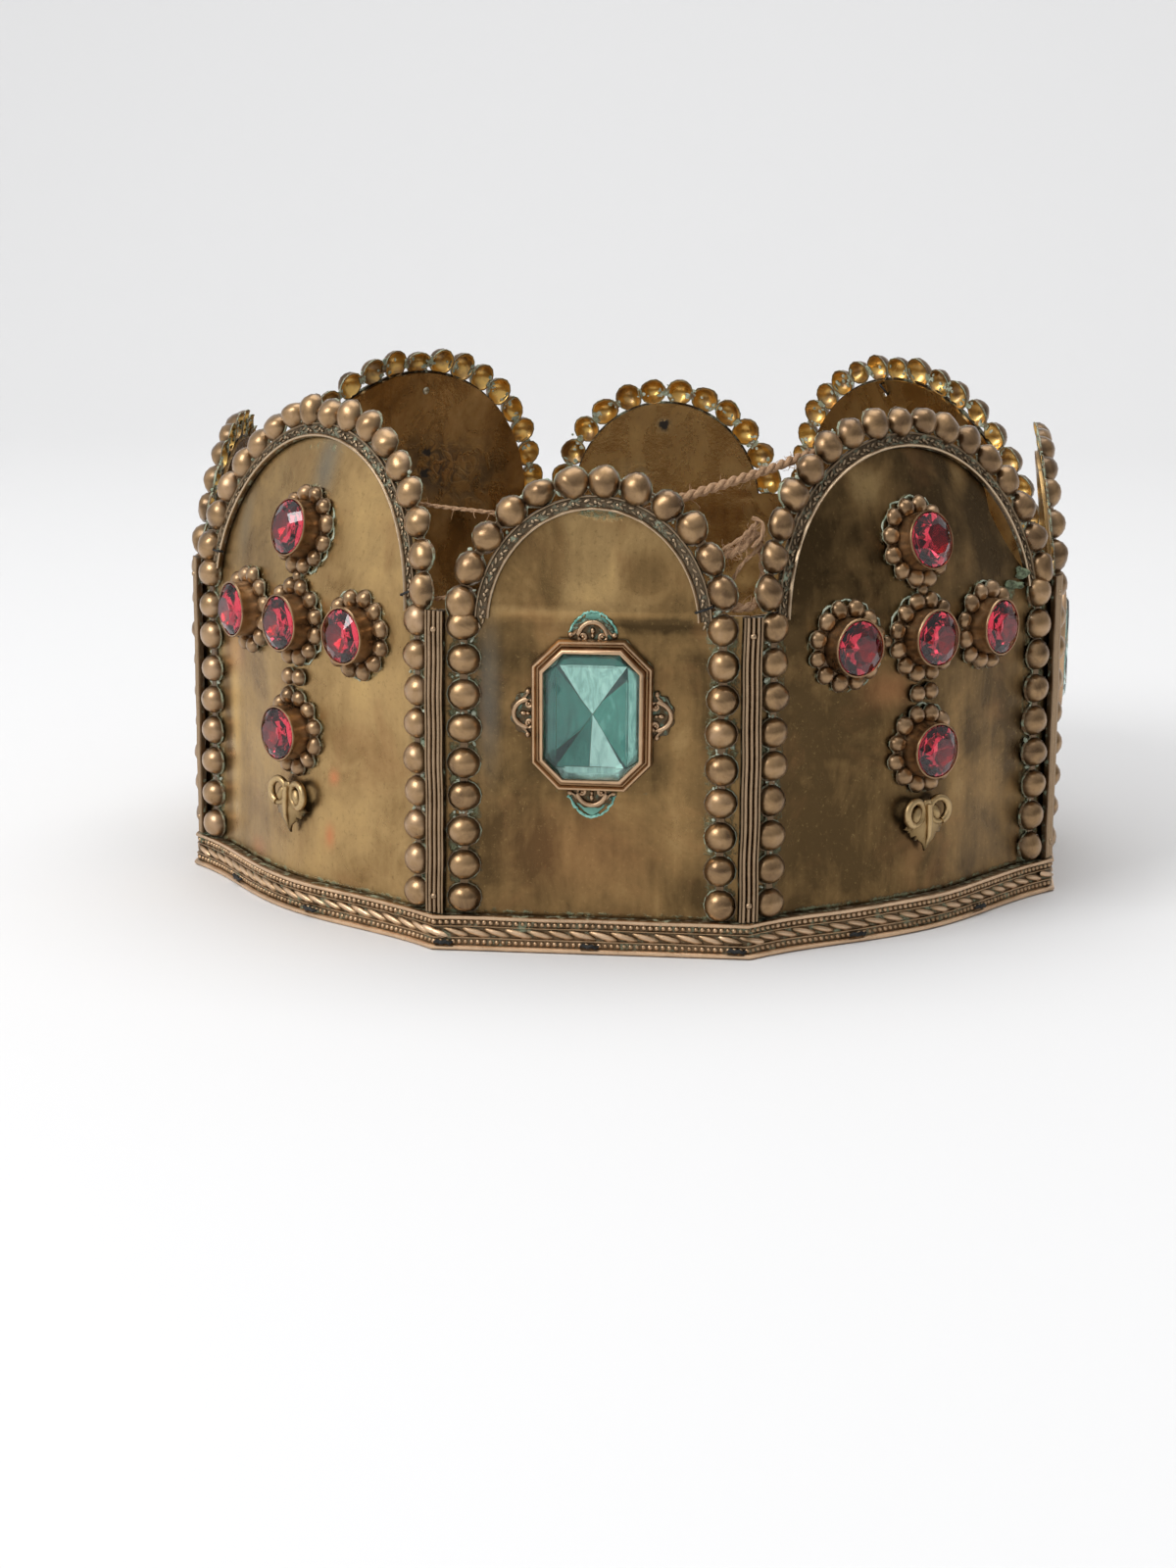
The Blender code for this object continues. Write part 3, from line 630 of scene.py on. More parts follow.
class Graph(Nodes):
    """The shader nodes of one material, or of the world."""

    def __init__(self, name: str, world: bool = False) -> None:
        """Starts a material or world of that name."""
        self.owner = (bpy.data.worlds if world else bpy.data.materials).new(name)
        self.owner.use_nodes = True
        super().__init__(self.owner.node_tree)
        self.tree.nodes.clear()

    def value(self, name: str) -> Socket:
        """A number that the mesh carries."""
        return self.put("ShaderNodeAttribute", attribute_name=name).outputs["Fac"]

    def vector(self, name: str, factors: Colour = (1, 1, 1)) -> Socket:
        """A vector that the mesh carries, stretched."""
        found = self.put("ShaderNodeAttribute", attribute_name=name).outputs["Vector"]
        return self.put("ShaderNodeVectorMath", {0: found, 1: factors}, operation="MULTIPLY").outputs[0]

    def place(self, factors: Colour = (1, 1, 1)) -> Socket:
        """The object's own coordinates, stretched."""
        found = self.put("ShaderNodeTexCoord").outputs["Object"]
        return self.put("ShaderNodeVectorMath", {0: found, 1: factors}, operation="MULTIPLY").outputs[0]

    def noise(self, where: Socket, scale: float, detail: float = 4.0, rough: float = 0.55,
              warp: float = 0.0) -> Socket:
        """A noise value from 0 to 1."""
        return self.put("ShaderNodeTexNoise", {"Vector": where, "Scale": scale, "Detail": detail,
                                               "Roughness": rough, "Distortion": warp}).outputs[0]

    def maths(self, operation: str, a: Socket | float, b: Socket | float = 0.0) -> Socket:
        """One sum, clipped to 0 and 1."""
        return self.put("ShaderNodeMath", {0: a, 1: b}, operation=operation, use_clamp=True).outputs[0]

    def free(self, operation: str, a: Socket | float, b: Socket | float = 0.0) -> Socket:
        """One sum, not clipped."""
        return self.put("ShaderNodeMath", {0: a, 1: b}, operation=operation).outputs[0]

    def total(self, *terms: Socket | float | tuple[Socket, Socket | float]) -> Socket:
        """The sum of the terms, each a value or a value and its weight."""
        first, *others = (self.free("MULTIPLY", *term) if isinstance(term, tuple) else term for term in terms)
        for other in others:
            first = self.free("ADD", first, other)
        return first

    def height(self) -> Socket:
        """How high a point was made above its panel."""
        return self.put("ShaderNodeSeparateXYZ", {0: self.vector("flat")}).outputs["Z"]

    def span(self, value: Socket, low: float, high: float, start: float = 0.0, end: float = 1.0) -> Socket:
        """A value moved smoothly from one range to another."""
        return self.put("ShaderNodeMapRange", {"Value": value, "From Min": low, "From Max": high,
                                               "To Min": start, "To Max": end},
                        interpolation_type="SMOOTHSTEP").outputs[0]

    def ramp(self, value: Socket, stops: Sequence[tuple[float, Colour]]) -> Socket:
        """Colours over a value."""
        node = self.put("ShaderNodeValToRGB", {0: value})
        elements = node.color_ramp.elements
        while len(elements) < len(stops):
            elements.new(1.0)
        for element, (place, colour) in zip(elements, stops):
            element.position = place
            element.color = (*colour, 1)
        return node.outputs[0]

    def mix(self, share: Socket | float, a: Socket | Colour, b: Socket | Colour) -> Socket:
        """Two colours in the given share."""
        links = {0: share, 6: a, 7: b}
        return self.put("ShaderNodeMix", {key: (*value, 1) if isinstance(value, tuple) else value
                                          for key, value in links.items()}, data_type="RGBA").outputs[2]

    def relief(self, height: Socket, distance: float) -> Socket:
        """A normal from heights."""
        return self.put("ShaderNodeBump", {"Height": height, "Distance": distance, "Strength": 1.0}).outputs[0]

    def surface(self, **sockets: object) -> Material:
        """Ends the material in one Principled shader.

        Args:
            **sockets: Links or values, with _ for the spaces in the sockets' names.

        Returns:
            The material.
        """
        links = {key.replace("_", " "): (*value, 1) if isinstance(value, tuple) else value
                 for key, value in sockets.items()}
        shader = self.put("ShaderNodeBsdfPrincipled", links)
        self.put("ShaderNodeOutputMaterial", {"Surface": shader.outputs[0]})
        return self.owner


@dataclass(frozen=True)
class SheetBrass:
    """Thin brass sheet with an olive-brown skin, stains and green crusts at its edges. Its tone also carries
    painted light and shade, and its inner faces are painted lighter.
    """
    dark: Colour = (0.092, 0.057, 0.024)
    olive: Colour = (0.268, 0.164, 0.066)
    khaki: Colour = (0.44, 0.288, 0.124)
    gold: Colour = (0.7, 0.47, 0.19)
    copper: Colour = (0.56, 0.23, 0.1)
    slate: Colour = (0.17, 0.19, 0.175)
    black: Colour = (0.018, 0.014, 0.01)
    verdigris: Colour = (0.215, 0.245, 0.14)
    turquoise: Colour = (0.2, 0.44, 0.35)
    russet: Colour = (0.3, 0.145, 0.06)

    def make(self) -> Material:
        """The material."""
        g = Graph("aged_sheet_brass")
        where = g.place()
        blotch = g.noise(where, 34.0, 5.0, 0.6, 0.6)
        cloud = g.noise(g.place((1, 1, 0.7)), 90.0, 5.0, 0.62, 0.7)
        streak = g.noise(g.vector("flat", (9, 1, 1)), 60.0, 3.0, 0.5)
        speck = g.noise(where, 900.0, 3.0, 0.7)
        # The tone attribute holds the sheet's tone patches, some of which are painted light and shade. The inner
        # faces get 0.07 more as painted light inside the crown.
        level = g.total((blotch, 0.52), (cloud, 0.42), (streak, 0.1), g.value("tone"), -0.02,
                        (g.value("inner"), 0.07))
        skin = g.ramp(level, [(0.28, self.dark), (0.46, self.olive), (0.62, self.khaki), (1.0, self.gold)])
        skin = g.mix(g.span(speck, 0.55, 0.75, 0.0, 0.35), skin, self.dark)
        skin = g.mix(g.span(speck, 0.42, 0.25, 0.0, 0.16), skin, self.gold)
        warm = g.span(g.noise(where, 58.0, 4.0, 0.6, 0.8), 0.5, 0.74, 0.0, 0.28)
        skin = g.mix(warm, skin, self.russet)
        skin = g.mix(g.value("copper"), skin, self.copper)
        skin = g.mix(g.value("slate"), skin, self.slate)
        soot = g.maths("MULTIPLY", g.value("soot"), g.span(g.noise(where, 210.0, 4.0, 0.7, 1.0), 0.42, 0.58))
        skin = g.mix(soot, skin, self.black)
        grain = g.noise(where, 420.0, 5.0, 0.75)
        crust = g.span(g.total(g.value("crust"), (grain, 1.1)), 1.02, 1.3)
        bloom = g.span(g.total(g.value("bloom"), (grain, 0.9)), 0.95, 1.15)
        both = g.maths("MAXIMUM", crust, bloom)
        colour = g.mix(both, skin, g.mix(bloom, self.verdigris, self.turquoise))
        cover = g.maths("MAXIMUM", both, g.free("MULTIPLY", soot, 0.7))
        rough = g.total(g.span(cloud, 0.35, 0.7, 0.27, 0.42), (cover, 0.4), (g.value("inner"), -0.05))
        return g.surface(Base_Color=colour, Metallic=g.total(1.0, (cover, -0.9)), Roughness=rough,
                         Normal=g.relief(g.total((speck, 0.35), (cover, 1.6), (cloud, 0.8)), 0.00012))


@dataclass(frozen=True)
class BeadBronze:
    """Pressed brass with a coppery bronze skin, pale green in its crevices and golden inside, with painted shade
    round each bead's foot and painted light and shade by its tone.
    """
    name: str = "bronzed_beads"
    shade: Colour = (0.085, 0.054, 0.028)
    dark: Colour = (0.17, 0.098, 0.044)
    bronze: Colour = (0.345, 0.212, 0.098)
    bright: Colour = (0.46, 0.3, 0.172)
    amber: Colour = (0.9, 0.56, 0.15)
    green: Colour = (0.34, 0.39, 0.27)
    foot: float = 0.0004
    reach: float = 0.0008
    shade_reach: float = 0.0024

    def make(self) -> Material:
        """The material."""
        g = Graph(self.name)
        where = g.place()
        blotch = g.noise(where, 150.0, 4.0, 0.6, 0.5)
        fine = g.noise(where, 1100.0, 3.0, 0.65)
        # The tone attribute paints light and shade on the beads: lighter on the front left, darker on the front
        # right and on the arches.
        skin = g.ramp(g.total(blotch, g.value("tone")),
                      [(0.3, self.dark), (0.52, self.bronze), (0.78, self.bright)])
        skin = g.mix(g.span(fine, 0.56, 0.72, 0.0, 0.3), skin, self.dark)
        inside = g.mix(g.span(blotch, 0.42, 0.66), self.amber, self.bronze)
        skin = g.mix(g.value("inner"), skin, inside)
        outer = g.total(1.0, (g.value("inner"), -0.9))
        # Painted shade: the low ring round each bead's foot turns to the shade colour.
        low = g.span(g.height(), self.foot + self.shade_reach, self.foot, 0.0, 0.8)
        skin = g.mix(g.free("MULTIPLY", low, outer), skin, self.shade)
        depth = g.span(g.height(), self.foot + self.reach, self.foot, 0.0, 0.72)
        grain = g.noise(where, 520.0, 4.0, 0.7)
        crust = g.span(g.total((depth, outer), grain), 0.88, 1.1)
        colour = g.mix(crust, skin, g.mix(g.span(grain, 0.4, 0.6), self.green, self.dark))
        rough = g.total(g.span(blotch, 0.3, 0.7, 0.27, 0.4), (crust, 0.42))
        return g.surface(Base_Color=colour, Metallic=g.total(0.92, (crust, -0.8)), Roughness=rough,
                         Coat_Weight=0.4, Coat_Roughness=0.2,
                         Normal=g.relief(g.total((fine, 0.3), crust, blotch), 0.00009))


@dataclass(frozen=True)
class StampedTrim:
    """Dark stamped brass whose raised lines are paler and low ground darker, partly as wear and partly as a painted
    highlight on the crests and painted shade in the hollows.
    """
    name: str
    floor: float
    crest: float
    dark: Colour
    middle: Colour
    worn_and_highlit: Colour
    crusted: float
    green: Colour = (0.24, 0.32, 0.22)

    def make(self) -> Material:
        """The material, for relief that lies between the floor and the crest heights."""
        g = Graph(self.name)
        where = g.place()
        blotch = g.noise(where, 190.0, 4.0, 0.65)
        fine = g.noise(where, 1300.0, 3.0, 0.65)
        # Higher relief is paler and low ground darker: part wear, part painted highlight on the crests and painted
        # shade in the hollows.
        level = g.total((g.span(g.height(), self.floor, self.crest), 0.62), (blotch, 0.42))
        skin = g.ramp(level, [(0.22, self.dark), (0.52, self.middle), (0.92, self.worn_and_highlit)])
        skin = g.mix(g.span(fine, 0.58, 0.74, 0.0, 0.35), skin, self.dark)
        grain = g.noise(where, 480.0, 4.0, 0.7)
        crust = g.span(g.total(grain, 0.36 + self.crusted, (level, -0.42)), 0.82, 1.02)
        colour = g.mix(crust, skin, g.mix(g.span(blotch, 0.4, 0.62), self.green, self.dark))
        rough = g.total(g.span(blotch, 0.3, 0.7, 0.3, 0.46), (crust, 0.4))
        return g.surface(Base_Color=colour, Metallic=g.total(1.0, (crust, -0.85)), Roughness=rough,
                         Normal=g.relief(g.total(fine, crust), 0.00008))


@dataclass(frozen=True)
class ClearGlass:
    """Coloured glass that is seen through."""
    name: str
    colour: Colour
    ior: float = 1.52

    def make(self) -> Material:
        """The material, by plain values on the shader."""
        g = Graph(self.name)
        return g.surface(Base_Color=self.colour, Metallic=0.0, Roughness=0.015, IOR=self.ior,
                         Transmission_Weight=1.0)


@dataclass(frozen=True)
class Foil:
    """Painted foil behind a stone, whose facets' tones are a painted reflection."""
    name: str
    deep: Colour
    middle: Colour
    pale: Colour
    rough: float

    def make(self) -> Material:
        """The material."""
        g = Graph(self.name)
        cloud = g.noise(g.place((1, 1, 0.35)), 420.0, 5.0, 0.7, 1.5)
        # The tone gives each facet a painted reflection.
        level = g.total(g.value("tone"), g.span(cloud, 0.3, 0.7, -0.11, 0.11))
        colour = g.ramp(level, [(0.0, self.deep), (0.5, self.middle), (1.0, self.pale)])
        return g.surface(Base_Color=colour, Metallic=0.8, Roughness=self.rough)


@dataclass(frozen=True)
class Plain:
    """A small rough finish with a fine grain."""
    name: str
    pale: Colour
    deep: Colour
    rough: float
    metal: float = 0.0
    scale: float = 700.0

    def make(self) -> Material:
        """The material."""
        g = Graph(self.name)
        grain = g.noise(g.place(), self.scale, 5.0, 0.7)
        colour = g.mix(g.span(grain, 0.38, 0.62), self.deep, self.pale)
        return g.surface(Base_Color=colour, Metallic=self.metal, Roughness=self.rough,
                         Normal=g.relief(grain, 0.0002))


@dataclass(frozen=True)
class Jute:
    """Brown jute fibre, streaked along its strands."""
    pale: Colour = (0.58, 0.365, 0.205)
    deep: Colour = (0.26, 0.14, 0.07)

    def make(self) -> Material:
        """The material."""
        g = Graph("jute")
        fibre = g.noise(g.vector("strand", (1, 1, 0.06)), 9.0, 4.0, 0.7)
        grain = g.noise(g.place(), 1500.0, 3.0, 0.6)
        colour = g.mix(g.span(g.total(fibre, (grain, 0.4)), 0.5, 0.9), self.deep, self.pale)
        return g.surface(Base_Color=colour, Roughness=0.9, Normal=g.relief(fibre, 0.0002))


class Finishes:
    """The materials of the crown, made once."""

    def __init__(self) -> None:
        """Makes each material."""
        self.sheet = SheetBrass().make()
        self.beads = BeadBronze().make()
        self.cross = BeadBronze("cross_bronze", bronze=(0.35, 0.212, 0.102), reach=0.0012).make()
        self.band = StampedTrim(
            "stamped_band", 0.0008, 0.0018, (0.105, 0.076, 0.047), (0.36, 0.262, 0.165),
            (0.6, 0.46, 0.31), 0.08, (0.3, 0.34, 0.24)).make()
        self.border = StampedTrim(
            "base_moulding_brass", 0.0019, 0.003, (0.13, 0.085, 0.046), (0.43, 0.28, 0.158),
            (0.86, 0.62, 0.41), 0.11, (0.29, 0.315, 0.205)).make()
        self.strip = StampedTrim(
            "reeded_strip_brass", 0.0006, 0.0017, (0.07, 0.045, 0.024), (0.18, 0.118, 0.064),
            (0.48, 0.34, 0.215), 0.02).make()
        self.setting = StampedTrim(
            "stone_setting_brass", 0.0004, 0.0042, (0.12, 0.07, 0.032), (0.33, 0.2, 0.1),
            (0.66, 0.45, 0.28), 0.09).make()
        self.scroll = StampedTrim(
            "scroll_brass", 0.0007, 0.0017, (0.08, 0.055, 0.03), (0.28, 0.175, 0.098),
            (0.56, 0.385, 0.24), 0.1, (0.22, 0.36, 0.27)).make()
        self.leaf = StampedTrim(
            "leaf_brass", 0.001, 0.0036, (0.08, 0.052, 0.024), (0.27, 0.18, 0.08),
            (0.6, 0.43, 0.22), 0.03).make()
        self.teal = ClearGlass("teal_glass", (0.8, 0.97, 0.935)).make()
        self.ruby = ClearGlass("ruby_glass", (0.8, 0.045, 0.085), 1.62).make()
        self.teal_foil = Foil("teal_foil", (0.006, 0.04, 0.036), (0.062, 0.262, 0.216),
                              (0.86, 0.97, 0.92), 0.26).make()
        self.ruby_foil = Foil("ruby_foil", (0.03, 0.002, 0.006), (0.26, 0.012, 0.03),
                              (0.88, 0.085, 0.13), 0.22).make()
        self.wire = Plain("black_wire", (0.03, 0.03, 0.028), (0.008, 0.008, 0.008), 0.6, 0.4).make()
        self.crust = Plain("dark_crust", (0.2, 0.25, 0.15), (0.06, 0.07, 0.04), 0.95).make()
        self.salt = Plain("pale_crust", (0.56, 0.6, 0.48), (0.25, 0.3, 0.21), 0.95).make()
        self.turquoise = Plain("turquoise_crust", (0.33, 0.64, 0.54), (0.12, 0.34, 0.27), 0.95).make()
        self.solder = Plain("solder", (0.56, 0.52, 0.4), (0.3, 0.27, 0.18), 0.38, 1.0).make()
        self.jute = Jute().make()


# Sheets

class Mark(Enum):
    """What a patch does to the sheet: it stains it, dents it, or changes its tone, which on some patches is painted
    light and shade.
    """
    TONE = "tone"
    COPPER = "copper"
    SLATE = "slate"
    SOOT = "soot"
    CRUST = "crust"
    BLOOM = "bloom"
    DENT = "dent"


@dataclass(frozen=True)
class SheetPatch:
    """A soft oval patch on a panel, in millimetres."""
    mark: Mark
    across: float
    up: float
    half_width: float
    half_height: float
    strength: float
    square: float = 2.4

    def at(self, flat: Array) -> Array:
        """The patch's strength at flat points (n, 2)."""
        x = np.abs(flat[:, 0] / MM - self.across) / self.half_width
        y = np.abs(flat[:, 1] / MM - self.up) / self.half_height
        return self.strength * np.exp(-(x ** self.square + y ** self.square))


def patches(mark: Mark, *rows: Place) -> list[SheetPatch]:
    """Patches of one mark, each row in the order of a patch's values."""
    return [SheetPatch(mark, *row) for row in rows]


STAINS_AND_PAINTED_LIGHT: dict[str, list[SheetPatch]] = {
    "front": [
        # Front: the tone at (-19, 93) is a painted shadow under the left of the arch. The thin dark line at 77.4 mm
        # is a painted shadow under the crease, and the pale line at 79.9 mm is a painted highlight on it. The other
        # tones lighten or darken patches of the sheet.
        *patches(Mark.TONE, (-1.4, 92.5, 6.4, 10.5, 0.12, 9), (0, 38, 44, 38, -0.15, 7), (15, 88, 8, 7, -0.16),
                 (-19, 93, 6, 12, -0.12), (12, 77.4, 12, 1.6, -0.26), (-15, 79.9, 9, 1, 0.16),
                 (-1, 27, 18, 9, -0.05), (20, 40, 3.4, 26, 0.12), (-19, 44, 3, 30, 0.07), (23, 15, 5, 7, -0.14)),
        *patches(Mark.COPPER, (-3, 24, 16, 10, 0.12)),
        *patches(Mark.SLATE, (-24, 60, 2.4, 16, 0.35)),
        *patches(Mark.BLOOM, (1, 103, 7, 2, 0.6)),
        *patches(Mark.CRUST, (2, 102, 11, 2.6, 0.62)),
        *patches(Mark.DENT, (0, 79.8, 26, 0.9, 0.34), (6, 77.6, 18, 1.6, -0.42), (-14, 82, 9, 2.4, 0.16))],
    "front_right": [
        # Front right: the tone over the whole panel is painted shade, darker because the panel faces away from the
        # light.
        *patches(Mark.TONE, (0, 58, 80, 90, -0.2, 4), (-13, 106, 5, 6, 0.34), (18, 106, 3, 5, 0.26),
                 (13, 38, 4, 22, 0.13), (-10, 52, 3, 9, 0.1), (27, 30, 6, 16, 0.1), (-24, 30, 12, 14, -0.05)),
        *patches(Mark.COPPER, (-10, 59, 7, 4, 0.28)),
        *patches(Mark.CRUST, (33, 77, 5, 2.4, 0.7))],
    "front_left": [
        # Front left: the tone over the whole panel is painted light, lighter because the panel faces the light.
        *patches(Mark.TONE, (0, 58, 80, 90, 0.085, 4), (22, 100, 7, 12, 0.13), (24, 62, 4, 20, 0.12),
                 (-2, 52, 3, 14, -0.1), (4, 24, 3, 14, -0.09), (-33, 40, 2.6, 30, 0.3),
                 (-38, 36, 2.2, 30, -0.12)),
        *patches(Mark.SLATE, (2.5, 108, 4, 8, 0.55), (-30, 92, 3, 10, 0.35)),
        *patches(Mark.COPPER, (14.6, 34.8, 1.5, 1.6, 1), (13.4, 20.2, 1.4, 2.6, 1), (-19, 11, 4, 2.5, 0.45),
                 (-33, 58, 5, 5, 0.3)),
        *patches(Mark.BLOOM, (0, 112, 8, 2, 0.35)),
        *patches(Mark.CRUST, (0, 112, 14, 3, 0.5))],
    # Back left, back and back right: their whole-panel tones fall on the insides that are seen, as painted light
    # and shade inside the crown.
    "back_left": [
        *patches(Mark.TONE, (0, 80, 60, 60, -0.13, 4)),
        *patches(Mark.SOOT, (-10, 89, 9, 9, 0.75), (12, 96, 10, 3, 0.65), (-25, 84, 9, 12, 0.4),
                 (-7.5, 93.7, 0.9, 0.9, 2), (-7.4, 87.9, 0.9, 0.9, 2))],
    "back": [
        *patches(Mark.TONE, (0, 80, 60, 60, 0.11, 4)),
        *patches(Mark.SOOT, (9, 84, 5, 5, 0.5), (0.5, 99.7, 1.5, 1.5, 2)),
        *patches(Mark.BLOOM, (-26, 88, 4, 5, 0.6))],
    "back_right": patches(Mark.TONE, (0, 80, 60, 60, 0.16, 4)),
    "left": patches(Mark.SLATE, (0, 90, 30, 20, 0.6)),
}


@dataclass
class Sheets:
    """The eight arched sheets, with their dents, stains, painted light and shade, and holes."""
    finishes: Finishes
    thickness: float = 0.0008
    foot: float = 0.0005
    seam: float = 0.0005
    inset: float = 0.0034
    cell: float = 0.0011
    hole_steps: int = 12
    arc_steps: int = 56
    ripple: float = 0.00022
    gap_depth: float = 0.0078
    seen_inside: range = range(2, 7)
    wire_hole: tuple[float, float, float] = (0.0062, 0.1126, 0.0007)

    def outline(self, panel: Panel) -> Array:
        """The sheet's flat outline (n, 2)."""
        start = panel.arch_start(self.inset, SHOULDER)
        arc = panel.arch(self.inset, np.linspace(start, pi - start, self.arc_steps))
        side = panel.half - self.seam
        foot = [(-side, self.foot), (side, self.foot), (side, SHOULDER)]
        return np.vstack((foot, arc, [(-side, SHOULDER)]))

    def flat_mesh(self, panel: Panel) -> Mesh:
        """The flat sheet with its holes, cut into small cells."""
        rings = [self.outline(panel)]
        if panel.name == "back_right":
            across, up, radius = self.wire_hole
            turns = circle(self.hole_steps)
            rings.append(np.column_stack((across + radius * np.cos(turns), up + radius * np.sin(turns))))
        bm = outlined(rings, dimensions="2D", fill_mode="BOTH")
        bmesh.ops.remove_doubles(bm, verts=bm.verts, dist=WELD)
        bmesh.ops.dissolve_limit(bm, angle_limit=radians(0.5), verts=bm.verts, edges=bm.edges)
        top = panel.spring + panel.kind.value.arch_rise
        for normal, low, high in (((1, 0, 0), -panel.half, panel.half), ((0, 1, 0), 0.0, top)):
            sliced(bm, normal, np.linspace(low, high, round((high - low) / self.cell))[1:-1])
        for face in bm.faces:
            if face.normal.z < 0:
                face.normal_flip()
        return from_bmesh(bm, outwards=False)

    def crust(self, panel: Panel, flat: Array) -> Array:
        """Where corrosion gathers: the foot, the bead strips and under the ornaments."""
        across, up = flat[:, 0], flat[:, 1]
        beside = np.clip(np.abs(np.abs(across) - panel.half + COLUMN_INSET) - 0.0034, 0, None)
        total = np.maximum(0.62 * np.exp(-np.abs(up - 0.0088) / 0.0016),
                           0.55 * np.exp(-beside / 0.002) * (up < SHOULDER))
        for x, y in CROSS.values() if panel.is_wide else []:
            away = np.abs(np.hypot(across - x, up - y) - 0.0104)
            total = np.maximum(total, 0.62 * np.exp(-away / 0.0014))
        if not panel.is_wide:
            away = np.abs(np.maximum(np.abs(across) - 0.0141, np.abs(up - STONE_UP) - 0.0181))
            total = np.maximum(total, 0.52 * np.exp(-away / 0.0014))
        return total

    def bloom(self, panel: Panel, flat: Array) -> Array:
        """Bright turquoise above and below the stone's scrolls."""
        total = np.zeros(len(flat))
        if not panel.is_wide:
            for up, strength in ((STONE_UP + 0.0182, 0.95), (STONE_UP - 0.0184, 0.85)):
                x, y = np.abs(flat[:, 0]) / 0.0056, np.abs(flat[:, 1] - up) / 0.0061
                reach = (x ** 1.4 + y ** 1.4) ** (1 / 1.4)
                total = np.maximum(total, strength * np.exp(-np.clip(reach - 0.88, 0, None) / 0.1))
        return total

    def relief(self, panel: Panel, flat: Array) -> Array:
        """How far dents and ripples move the sheet, inwards where negative."""
        rng = np.random.default_rng(40 + panel.index)
        across, up = flat[:, 0], flat[:, 1]
        total = np.zeros(len(flat))
        for _ in range(9):
            x, y = rng.uniform(-0.8, 0.8) * panel.half, rng.uniform(0.015, 0.1)
            wide, tall = rng.uniform(0.006, 0.016), rng.uniform(0.008, 0.024)
            total += rng.uniform(-1, 1) * self.ripple * np.exp(-((across - x) / wide) ** 2 - ((up - y) / tall) ** 2)
        inner = panel.half - 0.0118
        near = np.exp(-((np.abs(across) - inner) / 0.0028) ** 2) * (up < SHOULDER) * (up > 0.01)
        total += near * (0.00007 * np.cos(2 * pi * (up - 0.0121) / 0.00804) - 0.00013)
        fade = np.clip((panel.half - np.abs(across)) / 0.01, 0, 1)
        return total * fade

    def pulled_in(self, panel: Panel, flat: Array) -> Array:
        """The flat points, with the front right sheet's upper edge drawn away from its band."""
        if panel.name != "front_right":
            return flat
        height = np.clip((flat[:, 1] - 0.0802) / 0.03, 0, 1)
        depth = self.gap_depth * np.sin(pi * height) ** 0.7
        share = np.clip((flat[:, 0] - 0.012) / 0.024, 0, 1) ** 2
        return flat - np.outer(depth * share, (1, 0, 0))

    def build(self) -> None:
        """Makes each sheet in the place of its panel."""
        for panel in PANELS:
            mesh = self.flat_mesh(panel)
            flat = self.pulled_in(panel, coordinates(mesh))
            stains_and_shade = {mark: np.zeros(len(flat)) for mark in Mark}
            for sheet_patch in STAINS_AND_PAINTED_LIGHT.get(panel.name, []):
                stains_and_shade[sheet_patch.mark] += sheet_patch.at(flat)
            bent = flat.copy()
            bent[:, 2] = self.relief(panel, flat) + stains_and_shade.pop(Mark.DENT) * MM
            clean = np.zeros(len(flat))
            inside = panel.index in self.seen_inside
            outer = {mark: clean if inside else values for mark, values in stains_and_shade.items()}
            outer[Mark.CRUST] = np.maximum(outer[Mark.CRUST], self.crust(panel, flat))
            outer[Mark.BLOOM] = np.maximum(outer[Mark.BLOOM], self.bloom(panel, flat))
            set_coordinates(mesh, panel.place(bent))
            shell = new_object("shell", mesh)
            wall = shell.modifiers.new("wall", "SOLIDIFY")
            wall.thickness = self.thickness
            wall.offset = -1
            solid = evaluated(shell)
            back = len(solid.vertices) - len(flat)
            for mark, values in outer.items():
                within = stains_and_shade[mark] if inside else clean
                set_attribute(solid, mark.value, np.concatenate((values, within[:back])))
            set_attribute(solid, "inner", np.concatenate((np.zeros(len(flat)), np.ones(back))))
            piece = Piece("sheet_" + panel.name, [self.finishes.sheet])
            piece.add(solid)
            made = piece.finished("panel_" + panel.name)
            set_attribute(made.data, "flat", np.vstack((flat, flat[:back])))


# Bead borders and bands

